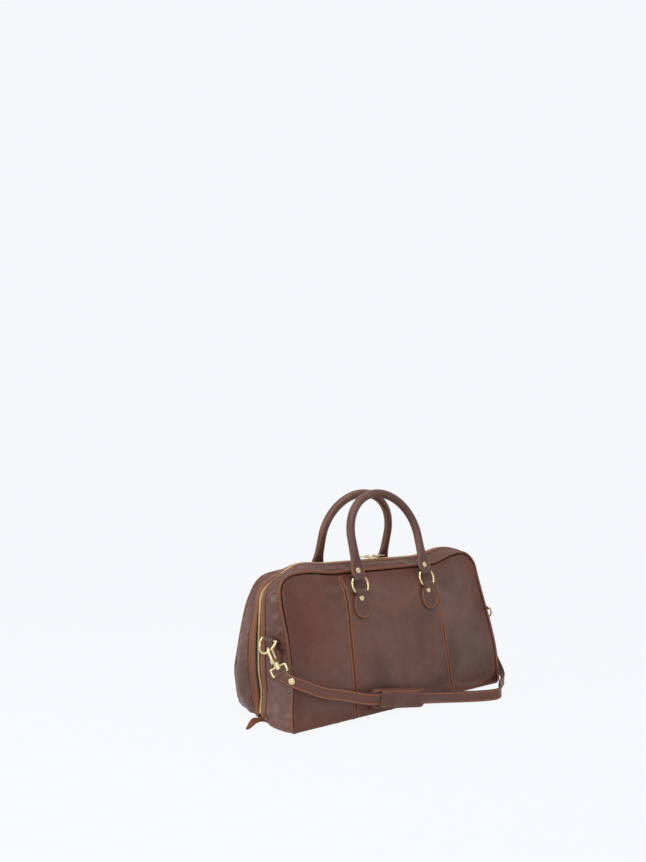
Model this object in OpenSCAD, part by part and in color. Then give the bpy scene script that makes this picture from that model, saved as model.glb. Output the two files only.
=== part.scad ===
// Leather weekender bag: two half shells joined by a zip that runs over the top and down both ends,
// two rolled handles on rings, and a shoulder strap clipped to a D-ring at each end.
// Millimetres. Origin: centre of the base, on the floor. X along the length, front faces -Y, +Z up.

/* [Body] */
// Length of the base
bag_l = 500; // [460:5:540]
// Depth of the base, front to rear
base_d = 190; // [170:2:210]
// Height of the panels, floor to the top piping at the corners
wall_h = 252; // [230:2:280]
// Distance between the front and rear top pipings
top_d = 80; // [70:2:96]
// Height of the zip above the floor at the top corners
zip_h = 260; // [240:2:290]
// How far the front and rear panels swell outwards
panel_crown = 16; // [6:1:20]
// How far the end and top gussets swell outwards
gusset_crown = 4; // [2:0.5:6]
// How much further the right end sags outwards than the left end
right_swell = 13; // [0:1:14]
// Distance from the middle to the two seams on a panel, at the base
seam_x = 119; // [110:1:130]
// Thickness of the outer leather
leather_t = 2.4; // [2:0.1:3]
// Radius of the leather covered piping
pipe_r = 2.75; // [2.2:0.05:3.2]

/* [Zip] */
// Spacing of the teeth along one row
tooth_pitch = 6; // [5:0.5:8]
// Length of one tooth along the zip
tooth_l = 2.4; // [1.6:0.1:2.4]
// Width of the stitched leather strip beside the teeth
welt_w = 13.4; // [10:0.2:16]
// Distance of each slider from the middle of the top
slider_x = 8; // [8:1:20]

/* [Handles] */
// Distance from the middle to a handle ring
handle_x = 84; // [78:1:90]
// Height of the rivet that holds a handle tab
tab_rivet_z = 197; // [185:1:200]
// Radius of the rolled handle
grip_r = 7.75; // [7:0.25:8.5]
// Height of a handle above its tab rivets, measured along its slope
handle_rise = 197; // [180:1:210]
// Outer width of a handle ring
ring_w = 40; // [38:1:44]
// Thickness of the ring wire
wire_d = 4; // [3.6:0.1:4]

/* [Shoulder strap] */
// Width of the strap
strap_w = 20; // [18:1:20]
// Thickness of the strap
strap_t = 3.4; // [3:0.1:3.6]
// Width of the shoulder pad
pad_w = 33; // [30:1:34]
// Height of the D-ring bars above the floor
dring_z = 143; // [140:1:150]
// Distance from the zip to the middle of a D-ring
dring_y = 42; // [38:1:44]
// Angle by which the D-rings stand out from the bag
dring_tilt = 30; // [25:1:35]

/* [Hidden] */
$fn = 32;
clearance = 0.08;             // radial clearance of every pivot
gap = 0.4;                    // room between pieces that are sewn together
half_l = bag_l / 2;
half_d = base_d / 2;
lean = (half_d - top_d / 2) / wall_h;      // slope of the panels
base_t = 4;                   // thickness of the base leather
board_t = 3;                  // thickness of the base board
lining_t = 0.8;               // thickness of the lining cloth
wall_z0 = base_t;             // height of the bottom piping
stations = 56;                // steps along the zip from one end of the bag to the other
wire_r = wire_d / 2;
bore_r = wire_r + clearance;  // bore of a leather loop round a ring wire
fold_t = 1.8;                 // leather thickness of a folded loop
rivet_r = 2;                  // shank of a rivet
cap_r = 5;                    // cap of a rivet
cap_h = 1.6;                  // height of a rivet cap

dark = [0.27, 0.15, 0.12];
tan_leather = [0.42, 0.22, 0.14];
brass = [0.80, 0.68, 0.42];
cloth = [0.35, 0.28, 0.20];
black = [0.08, 0.08, 0.08];

// ---- outlines: half width at the base, half width at the top, height, corner radius, bulge, sag,
// extra swell of the right end
pipe_line = [half_l + 2, half_l - 10, wall_h, 35, 3, 10, right_swell];
zip_line = [half_l, half_l - 4, zip_h, 68, 6, 5, 0.6 * right_swell];
sag_share = 0.42;             // share of a half top edge over which it sags to its low middle

function mix(a, b, f) = a + (b - a) * f;
function smooth(f) = let (c = max(0, min(1, f))) c * c * (3 - 2 * c);
function unit(v) = v / norm(v);

// half width of an outline at height z
function side_x(o, z) = mix(o[0], o[1], z / o[2]) + o[4] * 4 * (z / o[2]) * (1 - z / o[2]);
function corner_x(o) = side_x(o, o[2] - o[3]) - o[3];
// extra half width of the right end at height z, most at a third of the height and none at the top
function swell_at(o, z) = o[6] * pow(sin(180 * (z + 0.2 * wall_h) / (1.2 * wall_h)), 2);
// height of an outline's top edge at x
function top_z(o, x) = o[2] - o[5] * smooth((1 - abs(x) / corner_x(o)) / sag_share);
// half width of an outline with its rounded corner
function edge_x(o, z) =
    z <= o[2] - o[3] ? side_x(o, z) : corner_x(o) + sqrt(max(0, pow(o[3], 2) - pow(z - o[2] + o[3], 2)));

side_share = 0.45;            // share of a half outline that is the side
corner_share = 0.17;          // share of a half outline that is the corner
end_share = 0.0008;           // share of an outline left free above the base
lining_share = 0.012;         // the same for the lining

// point [x, z] of the left half of an outline, f = 0 at the base and 1 at the middle of the top
function half_arch(o, f) =
    f < side_share
        ? let (z = mix(wall_z0, o[2] - o[3], f / side_share)) [-side_x(o, z), z]
    : f < side_share + corner_share
        ? let (a = 90 * (f - side_share) / corner_share)
          [-corner_x(o) - o[3] * cos(a), o[2] - o[3] + o[3] * sin(a)]
    : let (x = -corner_x(o) * (1 - f) / (1 - side_share - corner_share)) [x, top_z(o, x)];

// point of a whole outline, f = 0 at the left end of the base and 1 at the right end
function arch(o, f) =
    f <= 0.5 ? half_arch(o, 2 * f)
    : let (p = half_arch(o, 2 - 2 * f)) [-p[0] + swell_at(o, p[1]), p[1]];
// outward direction of an outline
function arch_out(o, f) =
    let (d = unit(arch(o, min(1, f + 0.004)) - arch(o, max(0, f - 0.004)))) [-d[1], d[0]];

function wall_y(z) = -(half_d - lean * z);

// matching points of the zip line and of the front piping
function zip_point(f) = let (p = arch(zip_line, f)) [p[0], 0, p[1]];
function pipe_point(f) = let (p = arch(pipe_line, f)) [p[0], wall_y(p[1]), p[1]];
// distance from the zip to a strip's outer edge: a negative one is counted back from the piping
function strip_end(f, to) = to >= 0 ? to : norm(pipe_point(f) - zip_point(f)) + to;

// the gusset surface of the front half: dist from the zip towards the piping, depth inwards
function gusset_point(f, dist, depth) =
    let (
        a = zip_point(f), b = pipe_point(f), n = arch_out(zip_line, f),
        share = dist / norm(b - a),
        out = gusset_crown * 4 * share * (1 - share) - depth
    )
    mix(a, b, share) + out * [n[0], 0, n[1]];

// a closed shell from a grid of outer points and a grid of inner points of the same size
module shell(outer, inner) {
    rows = len(outer);
    cols = len(outer[0]);
    count = rows * cols;
    points = concat([for (r = outer) each r], [for (r = inner) each r]);
    quads = concat(
        [for (i = [0:rows - 2], j = [0:cols - 2])
            [i * cols + j, i * cols + j + 1, (i + 1) * cols + j + 1, (i + 1) * cols + j]],
        [for (i = [0:rows - 2], j = [0:cols - 2])
            [count + i * cols + j, count + (i + 1) * cols + j,
             count + (i + 1) * cols + j + 1, count + i * cols + j + 1]],
        [for (i = [0:rows - 2])
            [i * cols, (i + 1) * cols, count + (i + 1) * cols, count + i * cols]],
        [for (i = [0:rows - 2]) let (a = (i + 1) * cols - 1)
            [a, count + a, count + a + cols, a + cols]],
        [for (j = [0:cols - 2]) [j, count + j, count + j + 1, j + 1]],
        [for (j = [0:cols - 2]) let (a = (rows - 1) * cols + j) [a, a + 1, count + a + 1, count + a]]
    );
    faces = [for (q = quads) each [[q[0], q[1], q[2]], [q[0], q[2], q[3]]]];
    polyhedron(points, faces);
}

// a strip along the gusset, between two distances from the zip and two depths
module gusset_strip(from, to, top, bottom, cols, first = end_share) {
    grid = function (depth)
        [for (i = [0:stations]) let (f = mix(first, 1 - first, i / stations), end = strip_end(f, to))
            [for (j = [0:cols]) gusset_point(f, mix(from, end, j / cols), depth)]];
    shell(grid(top), grid(bottom));
}

// ---- front and rear panels
panel_inset = pipe_r + gap;
panel_z0 = wall_z0 + panel_inset;
function seam_at(z) = seam_x - 6 * z / wall_h;
function crown_at(x, z) =
    panel_crown * (1 - pow(2 * z / wall_h - 1, 4)) * (1 - pow(min(1, abs(x) / half_l), 4));
function panel_y(x, z) = wall_y(z) - crown_at(x, z);

// one panel as a grid: across goes from x_a to x_b, which are functions of the height
module panel(x_a, x_b, cols, rows, inset, depth, thick) {
    z_low = wall_z0 + inset;
    grid = function (y_in)
        [for (i = [0:rows]) let (v = i / rows, z_n = mix(z_low, wall_h - inset, v))
            [for (j = [0:cols])
                let (x = mix(x_a(z_n), x_b(z_n), j / cols),
                     z = mix(z_low, top_z(pipe_line, x) - inset, v))
                [x, panel_y(x, z) + y_in, z]]];
    shell(grid(depth), grid(depth + thick));
}

function outer_edge(z, inset) = edge_x(pipe_line, z + inset * z / wall_h) - inset;

// a left side panel, its outer edge moved out by a share of the right end's swell
module side_panel(swell = 0) {
    color(dark)
        panel(function (z) -outer_edge(z, panel_inset) - swell * swell_at(pipe_line, z),
              function (z) -seam_at(z) - gap / 2, 5, 14, panel_inset, 0, leather_t);
}

module center_panel() {
    color(dark)
        difference() {
            panel(function (z) -seam_at(z) + gap / 2, function (z) seam_at(z) - gap / 2,
                  8, 12, panel_inset, 0, leather_t);
            for (side = [-1, 1])
                on_wall(side * handle_x)
                    along_y() cylinder(h = 30, r = rivet_r + clearance, center = true);
        }
}

module panel_lining() {
    inset = 7;
    color(cloth)
        panel(function (z) -outer_edge(z, inset),
              function (z) outer_edge(z, inset) + swell_at(pipe_line, z),
              12, 12, inset + 3, leather_t + 3.2, lining_t);
}

// a flat sheet on the base, smaller than the base by inset on each side
module base_sheet(inset_x, inset_y, z, t) {
    translate([inset_x - half_l, inset_y - half_d, z])
        cube([bag_l - 2 * inset_x, base_d - 2 * inset_y, t]);
}

module base_panel() {
    color(dark) base_sheet(0, half_d + wall_y(wall_z0) + panel_inset, 0, base_t);
}

module base_board() {
    color(black) base_sheet(6, 9, base_t + gap, board_t);
}

module base_lining() {
    color(cloth) base_sheet(7, 10, base_t + 2 * gap + board_t, lining_t);
}

// ---- gusset, welt, lining and piping of the front half
zip_clear = 5;                // distance from the zip line to the welt
gusset_from = zip_clear + welt_w + gap;
tape_depth = 3.2;             // depth of the zip tape below the leather
tape_t = 0.6;                 // thickness of the zip tape
tape_from = 1.9;              // distance from the zip line to the near edge of the tape
tape_to = 15;                 // distance from the zip line to the far edge of the tape
welt_rise = 0.6;              // how far the welt stands above the gusset
welt_sink = 1.2;              // how far the welt reaches below the gusset's surface
lining_depth = 5.4;           // depth of the gusset lining below the leather
lining_from = 3;              // distance from the zip line to the near edge of the lining
lining_room = 4;              // room between the lining and the piping

module gusset() {
    color(dark) gusset_strip(gusset_from, -(pipe_r + 2 * gap), 0, leather_t, 4);
}

module zip_welt() {
    color(tan_leather) gusset_strip(zip_clear, zip_clear + welt_w, -welt_rise, welt_sink, 1);
}

module zip_tape() {
    color(black) gusset_strip(tape_from, tape_to, tape_depth, tape_depth + tape_t, 1);
}

module gusset_lining() {
    color(cloth)
        gusset_strip(lining_from, -(pipe_r + lining_room), lining_depth, lining_depth + lining_t, 4,
                     lining_share);
}

module piping() {
    ring = [for (i = [0:stations])
        let (f = i / stations, c = pipe_point(f), n = arch_out(pipe_line, f))
        [for (a = [0:45:315]) c + pipe_r * (cos(a) * [n[0], 0, n[1]] + sin(a) * [0, 1, 0])]];
    count = 8;
    color(tan_leather) {
        polyhedron(
            [for (r = ring) each r],
            concat(
                [[for (j = [count - 1:-1:0]) j]],
                [for (i = [0:stations - 1], j = [0:count - 1])
                    each let (a = i * count + j, b = i * count + (j + 1) % count)
                    [[a, b, b + count], [a, b + count, a + count]]],
                [[for (j = [0:count - 1]) stations * count + j]]
            )
        );
        // bottom run, on the hinge line of a wall
        translate([0, wall_y(wall_z0), wall_z0])
            rotate([0, 90, 0])
                cylinder(h = 2 * (pipe_line[0] - pipe_r - gap), r = pipe_r, center = true);
    }
}

// ---- zip teeth: one row of separate teeth, the rows half a pitch apart
steps = 4 * stations;
zip_run = [for (i = 0, s = 0; i <= steps;
        s = s + norm(arch(zip_line, min(1, (i + 1) / steps)) - arch(zip_line, i / steps)), i = i + 1)
    [s, i / steps]];
zip_len = zip_run[steps][0];
zip_start = 12;               // length of the zip below its first tooth

module zip_teeth(offset) {
    depth = zip_clear - 1.3;
    count = floor((zip_len - 2 * zip_start) / tooth_pitch);
    color(brass)
        for (i = [0:count - 1]) {
            s = zip_start + (i + offset) * tooth_pitch;
            f = lookup(s, zip_run);
            p = arch(zip_line, f);
            n = arch_out(zip_line, f);
            translate([p[0], -0.1 - depth / 2, p[1]])
                rotate([0, atan2(n[0], n[1]), 0])
                    cube([tooth_l, depth, 2.6], center = true);
        }
}

// ---- a frame on the front wall: origin on the leather at a tab rivet, z up along the wall
wall_tilt = 16;
stand_off = 0.7;
module on_wall(x) {
    translate([x, panel_y(handle_x, tab_rivet_z) - stand_off, tab_rivet_z])
        rotate([-wall_tilt, 0, 0]) children();
}
module along_y() { rotate([90, 0, 0]) children(); }
module along_x() { rotate([0, 90, 0]) children(); }

// handle ring: two straight bars that lie in leather loops, and two bulging sides
bar_y = -5;
low_bar = 11.5;
ring_h = 22;                  // distance between the two bars
high_bar = low_bar + ring_h;
bar_l = 28;                   // straight length of a bar

module handle_ring(x) {
    bulge = ring_w / 2 - wire_r - bar_l / 2;
    big_r = (pow(ring_h / 2, 2) + pow(bulge, 2)) / (2 * bulge);
    half_a = asin(ring_h / 2 / big_r);
    color(brass)
        on_wall(x) translate([0, bar_y, low_bar + ring_h / 2]) {
            for (z = [-1, 1])
                translate([0, 0, z * ring_h / 2]) {
                    along_x() cylinder(h = bar_l, r = wire_r, center = true);
                    for (s = [-1, 1])
                        translate([s * bar_l / 2, 0, 0]) sphere(r = wire_r);
                }
            for (s = [0, 1])
                mirror([s, 0, 0])
                    along_y()
                        translate([bar_l / 2 + bulge - big_r, 0, 0])
                            rotate([0, 0, -half_a])
                                rotate_extrude(angle = 2 * half_a)
                                    translate([big_r, 0]) circle(r = wire_r);
        }
}

tab_w = 46;
tab_neck = 25;                // width of the leather inside a ring
tab_drop = 36;                // distance from the rivet to the tab's rounded end
tab_t = 2 * fold_t + 0.2;     // thickness of the two layers of a tab

module handle_tab(x) {
    color(dark)
        on_wall(x)
            difference() {
                union() {
                    along_y()
                        linear_extrude(height = tab_t) {
                            translate([-tab_neck / 2, 0]) square([tab_neck, low_bar]);
                            translate([-tab_w / 2, tab_w / 2 - tab_drop])
                                square([tab_w, tab_drop - tab_w / 2 + 2]);
                            translate([0, tab_w / 2 - tab_drop]) circle(r = tab_w / 2);
                        }
                    translate([-tab_neck / 2, bar_y, low_bar])
                        along_x() cylinder(h = tab_neck, r = bore_r + fold_t);
                    translate([-tab_neck / 2, -bore_r - fold_t + bar_y + 2, low_bar - 6])
                        cube([tab_neck, bore_r + fold_t, 6]);
                }
                translate([0, bar_y, low_bar])
                    along_x() cylinder(h = tab_neck + 2, r = bore_r, center = true);
                along_y() cylinder(h = 4 * tab_t, r = rivet_r + clearance, center = true);
            }
}

// a rivet along y through a stack of leather, with a domed cap on the outside
module rivet(front_y, back_y) {
    dome_r = (pow(cap_r, 2) + pow(cap_h, 2)) / (2 * cap_h);
    translate([0, front_y, 0])
        intersection() {
            translate([0, dome_r - cap_h, 0]) sphere(r = dome_r);
            along_y() cylinder(h = cap_h, r = cap_r);
        }
    translate([0, back_y, 0]) along_y() cylinder(h = back_y - front_y, r = rivet_r);
    translate([0, back_y + 1, 0]) along_y() cylinder(h = 1, r = cap_r - 1);
}

module tab_rivets() {
    color(brass)
        for (side = [-1, 1])
            on_wall(side * handle_x)
                rivet(-tab_t - 0.05, stand_off + leather_t + 0.4);
}

// ---- rolled handle
handle_tab_t = 5.2;
handle_rivet_z = high_bar + 14;
grip_z = high_bar + 33;       // where the flat end has become the round grip
arch_z = handle_rise - grip_r - handle_x;
core_r = 5;
grip_lap = 3;                 // length over which the round grip and the flat end are one

// the arch of a handle with a radius of r, its two legs starting at height z0
module grip_path(r, z0) {
    translate([0, bar_y, arch_z])
        along_y() rotate_extrude(angle = 180) translate([handle_x, 0]) circle(r = r);
    for (side = [-1, 1])
        translate([side * handle_x, bar_y, z0]) cylinder(h = arch_z - z0, r = r);
}

module handle() {
    color(dark)
        on_wall(0) {
            difference() {
                grip_path(grip_r, grip_z - grip_lap);
                grip_path(core_r + clearance, grip_z + clearance);
            }
            for (side = [-1, 1])
                translate([side * handle_x, 0, 0]) {
                    difference() {
                        union() {
                            translate([-tab_neck / 2, bar_y, high_bar])
                                along_x() cylinder(h = tab_neck, r = bore_r + fold_t);
                            translate([-tab_neck / 2, bar_y - handle_tab_t / 2, high_bar])
                                cube([tab_neck, handle_tab_t, 22]);
                        }
                        translate([0, bar_y, high_bar])
                            along_x() cylinder(h = tab_neck + 2, r = bore_r, center = true);
                        translate([0, bar_y, handle_rivet_z])
                            along_y() cylinder(h = 20, r = rivet_r + clearance, center = true);
                    }
                    hull() {
                        translate([-tab_neck / 2, bar_y - handle_tab_t / 2, high_bar + 21])
                            cube([tab_neck, handle_tab_t, 1]);
                        translate([0, bar_y, grip_z - 1]) cylinder(h = 0.5, r = grip_r - 0.5);
                    }
                }
        }
}

module handle_cord() {
    color(cloth) on_wall(0) grip_path(core_r, grip_z + 2 * clearance);
}

module handle_rivets() {
    color(brass)
        for (side = [-1, 1])
            on_wall(side * handle_x)
                translate([0, bar_y, handle_rivet_z])
                    rivet(-handle_tab_t / 2 - 0.05, handle_tab_t / 2 + 0.05);
}

// ---- sliders and their pulls, on the straight middle of the zip
zip_mid = zip_h - zip_line[5];
plate_z = 3.2;                // underside of a slider's top plate above the zip line
plate_t = 1.4;
plate_r = 7.4;                // roundness of the plate's two ends
plate_y = [-6.4, 4.5];        // front and rear edge of the plate
slider_l = 13;
guide_t = 1.3;                // thickness of the flange in front of the teeth
guide_in = 3.5;               // how much shorter the flange is than the plate, at each end
guide_z = 1.1;
crown_t = 2.6;                // width of the crown that holds the pull
crown_outer = [9.2, 3.4];     // length and height of the crown above the plate
crown_inner = [5.8, 2.3];     // opening under it
pivot_z = plate_z + plate_t + 1.2;
pull_r = 0.9;                 // radius of the pull's cross bar
pull_w = 8;
pull_l = 16;                  // from the pull's neck to the middle of its round end
arm_x = 7;                    // length of the pull's two arms
arm_t = 1.6;
arm_r = 0.85;                 // half height of an arm
arm_back = 0.7;               // how far an arm reaches behind the cross bar
eye_r = 1.8;                  // hole near the pull's end

module slider() {
    color(brass)
        translate([slider_x, 0, zip_mid]) {
            intersection() {
                translate([-slider_l / 2, plate_y[0], plate_z])
                    cube([slider_l, plate_y[1] - plate_y[0], plate_t]);
                translate([0, 0, plate_z]) cylinder(h = plate_t, r = plate_r);
            }
            translate([-slider_l / 2 + guide_in, plate_y[0], guide_z])
                cube([slider_l - 2 * guide_in, guide_t, plate_z]);
            // crown over the pull's cross bar
            translate([0, 0, plate_z + plate_t / 2])
                along_y()
                    linear_extrude(height = crown_t, center = true)
                        difference() {
                            translate([-crown_outer[0] / 2, 0])
                                square([crown_outer[0], plate_t / 2 + crown_outer[1]]);
                            translate([-crown_inner[0] / 2, 0])
                                square([crown_inner[0], plate_t / 2 + crown_inner[1]]);
                        }
        }
}

module pull() {
    color(brass)
        translate([slider_x, 0, zip_mid + pivot_z]) {
            along_y() cylinder(h = pull_w, r = pull_r, center = true);
            for (s = [-1, 1])
                translate([-arm_back, s * (pull_w - arm_t) / 2 - arm_t / 2, -arm_r])
                    cube([arm_x + arm_back + 1, arm_t, 2 * arm_r]);
            translate([arm_x, 0, -pull_r])
                linear_extrude(height = 2 * pull_r)
                    difference() {
                        union() {
                            translate([0, -pull_w / 2]) square([pull_l, pull_w]);
                            translate([pull_l, 0]) circle(r = pull_w / 2);
                        }
                        translate([pull_l - 1, 0]) circle(r = eye_r);
                    }
        }
}

// ---- left end: side tab, D-ring, hook, gate, swivel loop
dring_x = half_l + 12;
dring_half = 20;              // half width of the D, to the middle of the wire
dring_arm = 3;                // straight part of the D next to its bar
side_tab_w = 26;
side_tab_z = 100;             // lower edge of a side tab
side_tab_t = 3.8;             // thickness of a side tab's two layers
side_tab_in = 1.6;            // how far the tab lies inside the line of its loop

module side_tab() {
    outer = bore_r + fold_t;
    color(dark)
        translate([-dring_x, -dring_y, dring_z])
            difference() {
                union() {
                    along_y() cylinder(h = side_tab_w, r = outer, center = true);
                    translate([outer - side_tab_t + side_tab_in, -side_tab_w / 2, side_tab_z - dring_z])
                        cube([side_tab_t, side_tab_w, dring_z - side_tab_z]);
                }
                along_y() cylinder(h = side_tab_w + 2, r = bore_r, center = true);
            }
}

// the D in its own frame: bar along y at the origin, D hanging towards -z
module dring_frame() {
    translate([-dring_x, -dring_y, dring_z]) rotate([0, dring_tilt, 0]) children();
}

module d_ring() {
    color(brass)
        dring_frame() {
            along_y() cylinder(h = 2 * dring_half, r = wire_r, center = true);
            for (s = [-1, 1])
                translate([0, s * dring_half, 0]) {
                    sphere(r = wire_r);
                    translate([0, 0, -dring_arm]) cylinder(h = dring_arm, r = wire_r);
                }
            translate([0, 0, -dring_arm])
                rotate([0, 90, 0])
                    rotate([0, 0, -90])
                        rotate_extrude(angle = 180) translate([dring_half, 0]) circle(r = wire_r);
        }
}

// how each hook hangs on its D: the left one pulled to the front by the strap, the right one straight down;
// both are written for a left end, and the right one is mirrored
hang_a = [50, 0];
pull_dir = [unit([0.2, -0.45, -0.866]), unit([0.06, -0.1, -1])];
loop_facing = [[-0.7, -0.7, 0], [-1, -0.25, 0]];

function hang_down(e) = dring_arm + dring_half * cos(hang_a[e]);
function hang_point(e) = [-dring_x - sin(dring_tilt) * hang_down(e), -dring_y - dring_half * sin(hang_a[e]),
                          dring_z - cos(dring_tilt) * hang_down(e)];
function wire_dir(e) =
    unit([sin(dring_tilt) * sin(hang_a[e]), -cos(hang_a[e]), cos(dring_tilt) * sin(hang_a[e])]);
function square_to(v, dir) = unit(v - (v * dir) * dir);
function hook_z(e) = -pull_dir[e];
function hook_y(e) = square_to(wire_dir(e), hook_z(e));
function hook_x(e) = cross(hook_y(e), hook_z(e));
function loop_normal(e) = square_to(loop_facing[e], hook_z(e));
function loop_x(e) = cross(loop_normal(e), hook_z(e));

hook_reach = 28;              // swivel centre to the D wire
hook_arc_z = 25;              // swivel centre to the centre of the bow
bow_r = 7.5;                  // radius of the bow, to the middle of its wire
hook_r = 2.1;
loop_drop = 12;               // swivel centre to the strap's bar
loop_half = 13;
loop_r = 1.8;
function swivel_c(e) = hang_point(e) + pull_dir[e] * hook_reach;
function bar_c(e) = swivel_c(e) + pull_dir[e] * loop_drop;

// a frame given by its origin and its three directions
module frame(o, x, y, z) {
    multmatrix([[x[0], y[0], z[0], o[0]], [x[1], y[1], z[1], o[1]], [x[2], y[2], z[2], o[2]]])
        children();
}
module hook_frame(e) { frame(swivel_c(e), hook_x(e), hook_y(e), hook_z(e)) children(); }
module loop_frame(e) { frame(swivel_c(e), loop_x(e), loop_normal(e), hook_z(e)) children(); }

gate_z = 11;
module hook(e) {
    color(brass)
        hook_frame(e) {
            translate([0, 0, -4.3]) cylinder(h = 1.5, r = 3.4);
            translate([0, 0, -4.3]) cylinder(h = 11, r = rivet_r);
            translate([0, 0, 2.8]) cylinder(h = 4.2, r = 4.2);
            difference() {
                translate([-bow_r - 2.4, -3, 6.8]) cube([2 * bow_r + 4.8, 6, 6.4]);
                // slot and bore for the gate
                translate([-bow_r - 3, -1.8, 8.4]) cube([6.4, 3.6, 8]);
                translate([-bow_r, 0, gate_z])
                    along_y() cylinder(h = 8, r = 0.9 + clearance, center = true);
            }
            translate([bow_r, 0, 13]) cylinder(h = hook_arc_z - 13, r = hook_r);
            translate([0, 0, hook_arc_z])
                along_y() rotate_extrude(angle = 180) translate([bow_r, 0]) circle(r = hook_r);
        }
}

module gate(e) {
    color(brass)
        hook_frame(e)
            translate([-bow_r, 0, gate_z]) {
                along_y() cylinder(h = 6, r = 0.9, center = true);
                translate([-1.4, -1.5, -1.4]) cube([2.8, 3, hook_arc_z - gate_z + 1]);
            }
}

module swivel_loop(e) {
    corner = 3;
    color(brass)
        loop_frame(e)
            difference() {
                union() {
                    translate([0, 0, -2.4]) cylinder(h = 4.8, r = 4.4);
                    for (z = [0, -loop_drop])
                        translate([0, 0, z])
                            along_x() cylinder(h = 2 * (loop_half - corner), r = loop_r, center = true);
                    for (s = [-1, 1])
                        translate([s * loop_half, 0, corner - loop_drop])
                            cylinder(h = loop_drop - 2 * corner, r = loop_r);
                    for (s = [0, 1], t = [0, 1])
                        mirror([s, 0, 0])
                            translate([loop_half - corner, 0, t ? -corner : corner - loop_drop])
                                along_y()
                                    rotate([0, 0, t ? 0 : -90])
                                        rotate_extrude(angle = 90)
                                            translate([corner, 0]) circle(r = loop_r);
                }
                translate([0, 0, -5]) cylinder(h = 10, r = rivet_r + clearance);
            }
}

end_tab_w = 22;
end_tab_l = 26;               // straight length of a zip-end tab
end_tab_t = 3.2;
end_tab_z = 0.3;

module zip_end_tab() {
    color(tan_leather)
        translate([-half_l - gap, 0, end_tab_z])
            linear_extrude(height = end_tab_t) {
                translate([-end_tab_l, -end_tab_w / 2]) square([end_tab_l, end_tab_w]);
                translate([-end_tab_l, 0]) circle(r = end_tab_w / 2);
            }
}

// ---- shoulder strap: a flat band along a smooth path, standing on its edge on the floor
floor_z = strap_w / 2 + 0.4;
pad_start = [-100, -112, 35];
pad_end = [45, -115.5, 14];
right_shift = right_swell - 1;              // how much further out the right end's fittings sit
// a left end's vectors mirrored to the right end
function mirrored(v) = [-v[0], v[1], v[2]];
right_bar = mirrored(bar_c(1)) + [right_shift, 0, 0];

band_start = loop_r + 0.6;    // from the middle of a loop's bar to the start of the band

// path points, each with the direction of the band's width
strap_path = [
    [bar_c(0) + pull_dir[0] * band_start, -loop_x(0)],
    [[-half_l - 4, -91, 86], [0.25, -0.35, 0.9]],
    [[-half_l + 11, -100, 79], [0.1, -0.1, 1]],
    [[-half_l + 49, -107, 62], [0, 0, 1]],
    [[-half_l + 91, -109, 51], [0, 0, 1]],
    [[-half_l + 126, -110.5, 40.5], [0, 0, 1]],
    [pad_start, [0, 0, 1]],
    [mix(pad_start, pad_end, 0.2), [0, 0, 1]],
    [mix(pad_start, pad_end, 0.8), [0, 0, 1]],
    [pad_end, [0, 0, 1]],
    [[73, -121, floor_z + 0.8], [0, 0, 1]],
    [[100, -135, floor_z], [0, 0, 1]],
    [[130, -152, floor_z], [0, 0, 1]],
    [[160, -163, floor_z], [0, 0, 1]],
    [[182, -158, floor_z], [0, 0, 1]],
    [[202, -140, floor_z], [0, 0, 1]],
    [[229, -122, floor_z], [0, 0, 1]],
    [[half_l + 6, -107, floor_z + 2], [0, -0.1, 1]],
    [[half_l + right_shift + 9, -91, 20], [-0.1, -0.35, 0.9]],
    [[half_l + right_shift + 17, -72, 36], [-0.1, -0.7, 0.7]],
    [[half_l + right_shift + 20, -55, 58], [0, -0.95, 0.3]],
    [right_bar + mirrored(pull_dir[1]) * band_start, -mirrored(loop_x(1))]
];
path_steps = 4;
path_last = len(strap_path) - 1;

function path_key(i, k) = strap_path[max(0, min(path_last, i))][k];
function spline(p, q, r, s, f) =
    0.5 * (2 * q + (r - p) * f + (2 * p - 5 * q + 4 * r - s) * f * f
           + (3 * q - p - 3 * r + s) * f * f * f);
function path_at(u, k) =
    let (i = min(path_last - 1, floor(u)), f = u - i)
    spline(path_key(i - 1, k), path_key(i, k), path_key(i + 1, k), path_key(i + 2, k), f);
function path_dir(u) = unit(path_at(min(path_last, u + 0.02), 0) - path_at(max(0, u - 0.02), 0));
function path_wide(u) =
    let (t = path_dir(u), w = path_at(u, 1)) unit(w - (w * t) * t);

module bar_frame(e) { frame(bar_c(e), loop_x(e), loop_normal(e), hook_z(e)) children(); }
module strap_end(e) {
    bar_frame(e) along_x() cylinder(h = strap_w, r = loop_r + clearance + fold_t, center = true);
}
module strap_end_bore(e) {
    bar_frame(e) along_x() cylinder(h = strap_w + 20, r = loop_r + clearance, center = true);
}
rivet_u = 1.15;               // place of a strap rivet along the path
rivet_room = 0.6;             // room for the strap's bend under a rivet's cap

module strap_rivet_frame(u) {
    t = path_dir(u);
    w = path_wide(u);
    frame(path_at(u, 0), t, cross(w, t), w) children();
}

module strap() {
    us = [for (i = [0:path_last * path_steps]) i / path_steps];
    grid = function (side)
        [for (u = us) let (c = path_at(u, 0), w = path_wide(u), n = cross(path_dir(u), w))
            [for (e = [-1, 1]) c + w * e * strap_w / 2 + n * side * strap_t / 2]];
    color(tan_leather)
        difference() {
            union() {
                shell(grid(1), grid(-1));
                strap_end(0);
                right_end() strap_end(1);
            }
            strap_end_bore(0);
            right_end() strap_end_bore(1);
            for (u = [rivet_u, path_last - rivet_u])
                strap_rivet_frame(u) along_y() cylinder(h = 20, r = rivet_r + clearance, center = true);
        }
}

module strap_rivets() {
    color(brass)
        for (u = [rivet_u, path_last - rivet_u])
            strap_rivet_frame(u) rivet(-strap_t / 2 - rivet_room, strap_t / 2 + rivet_room);
}

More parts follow.
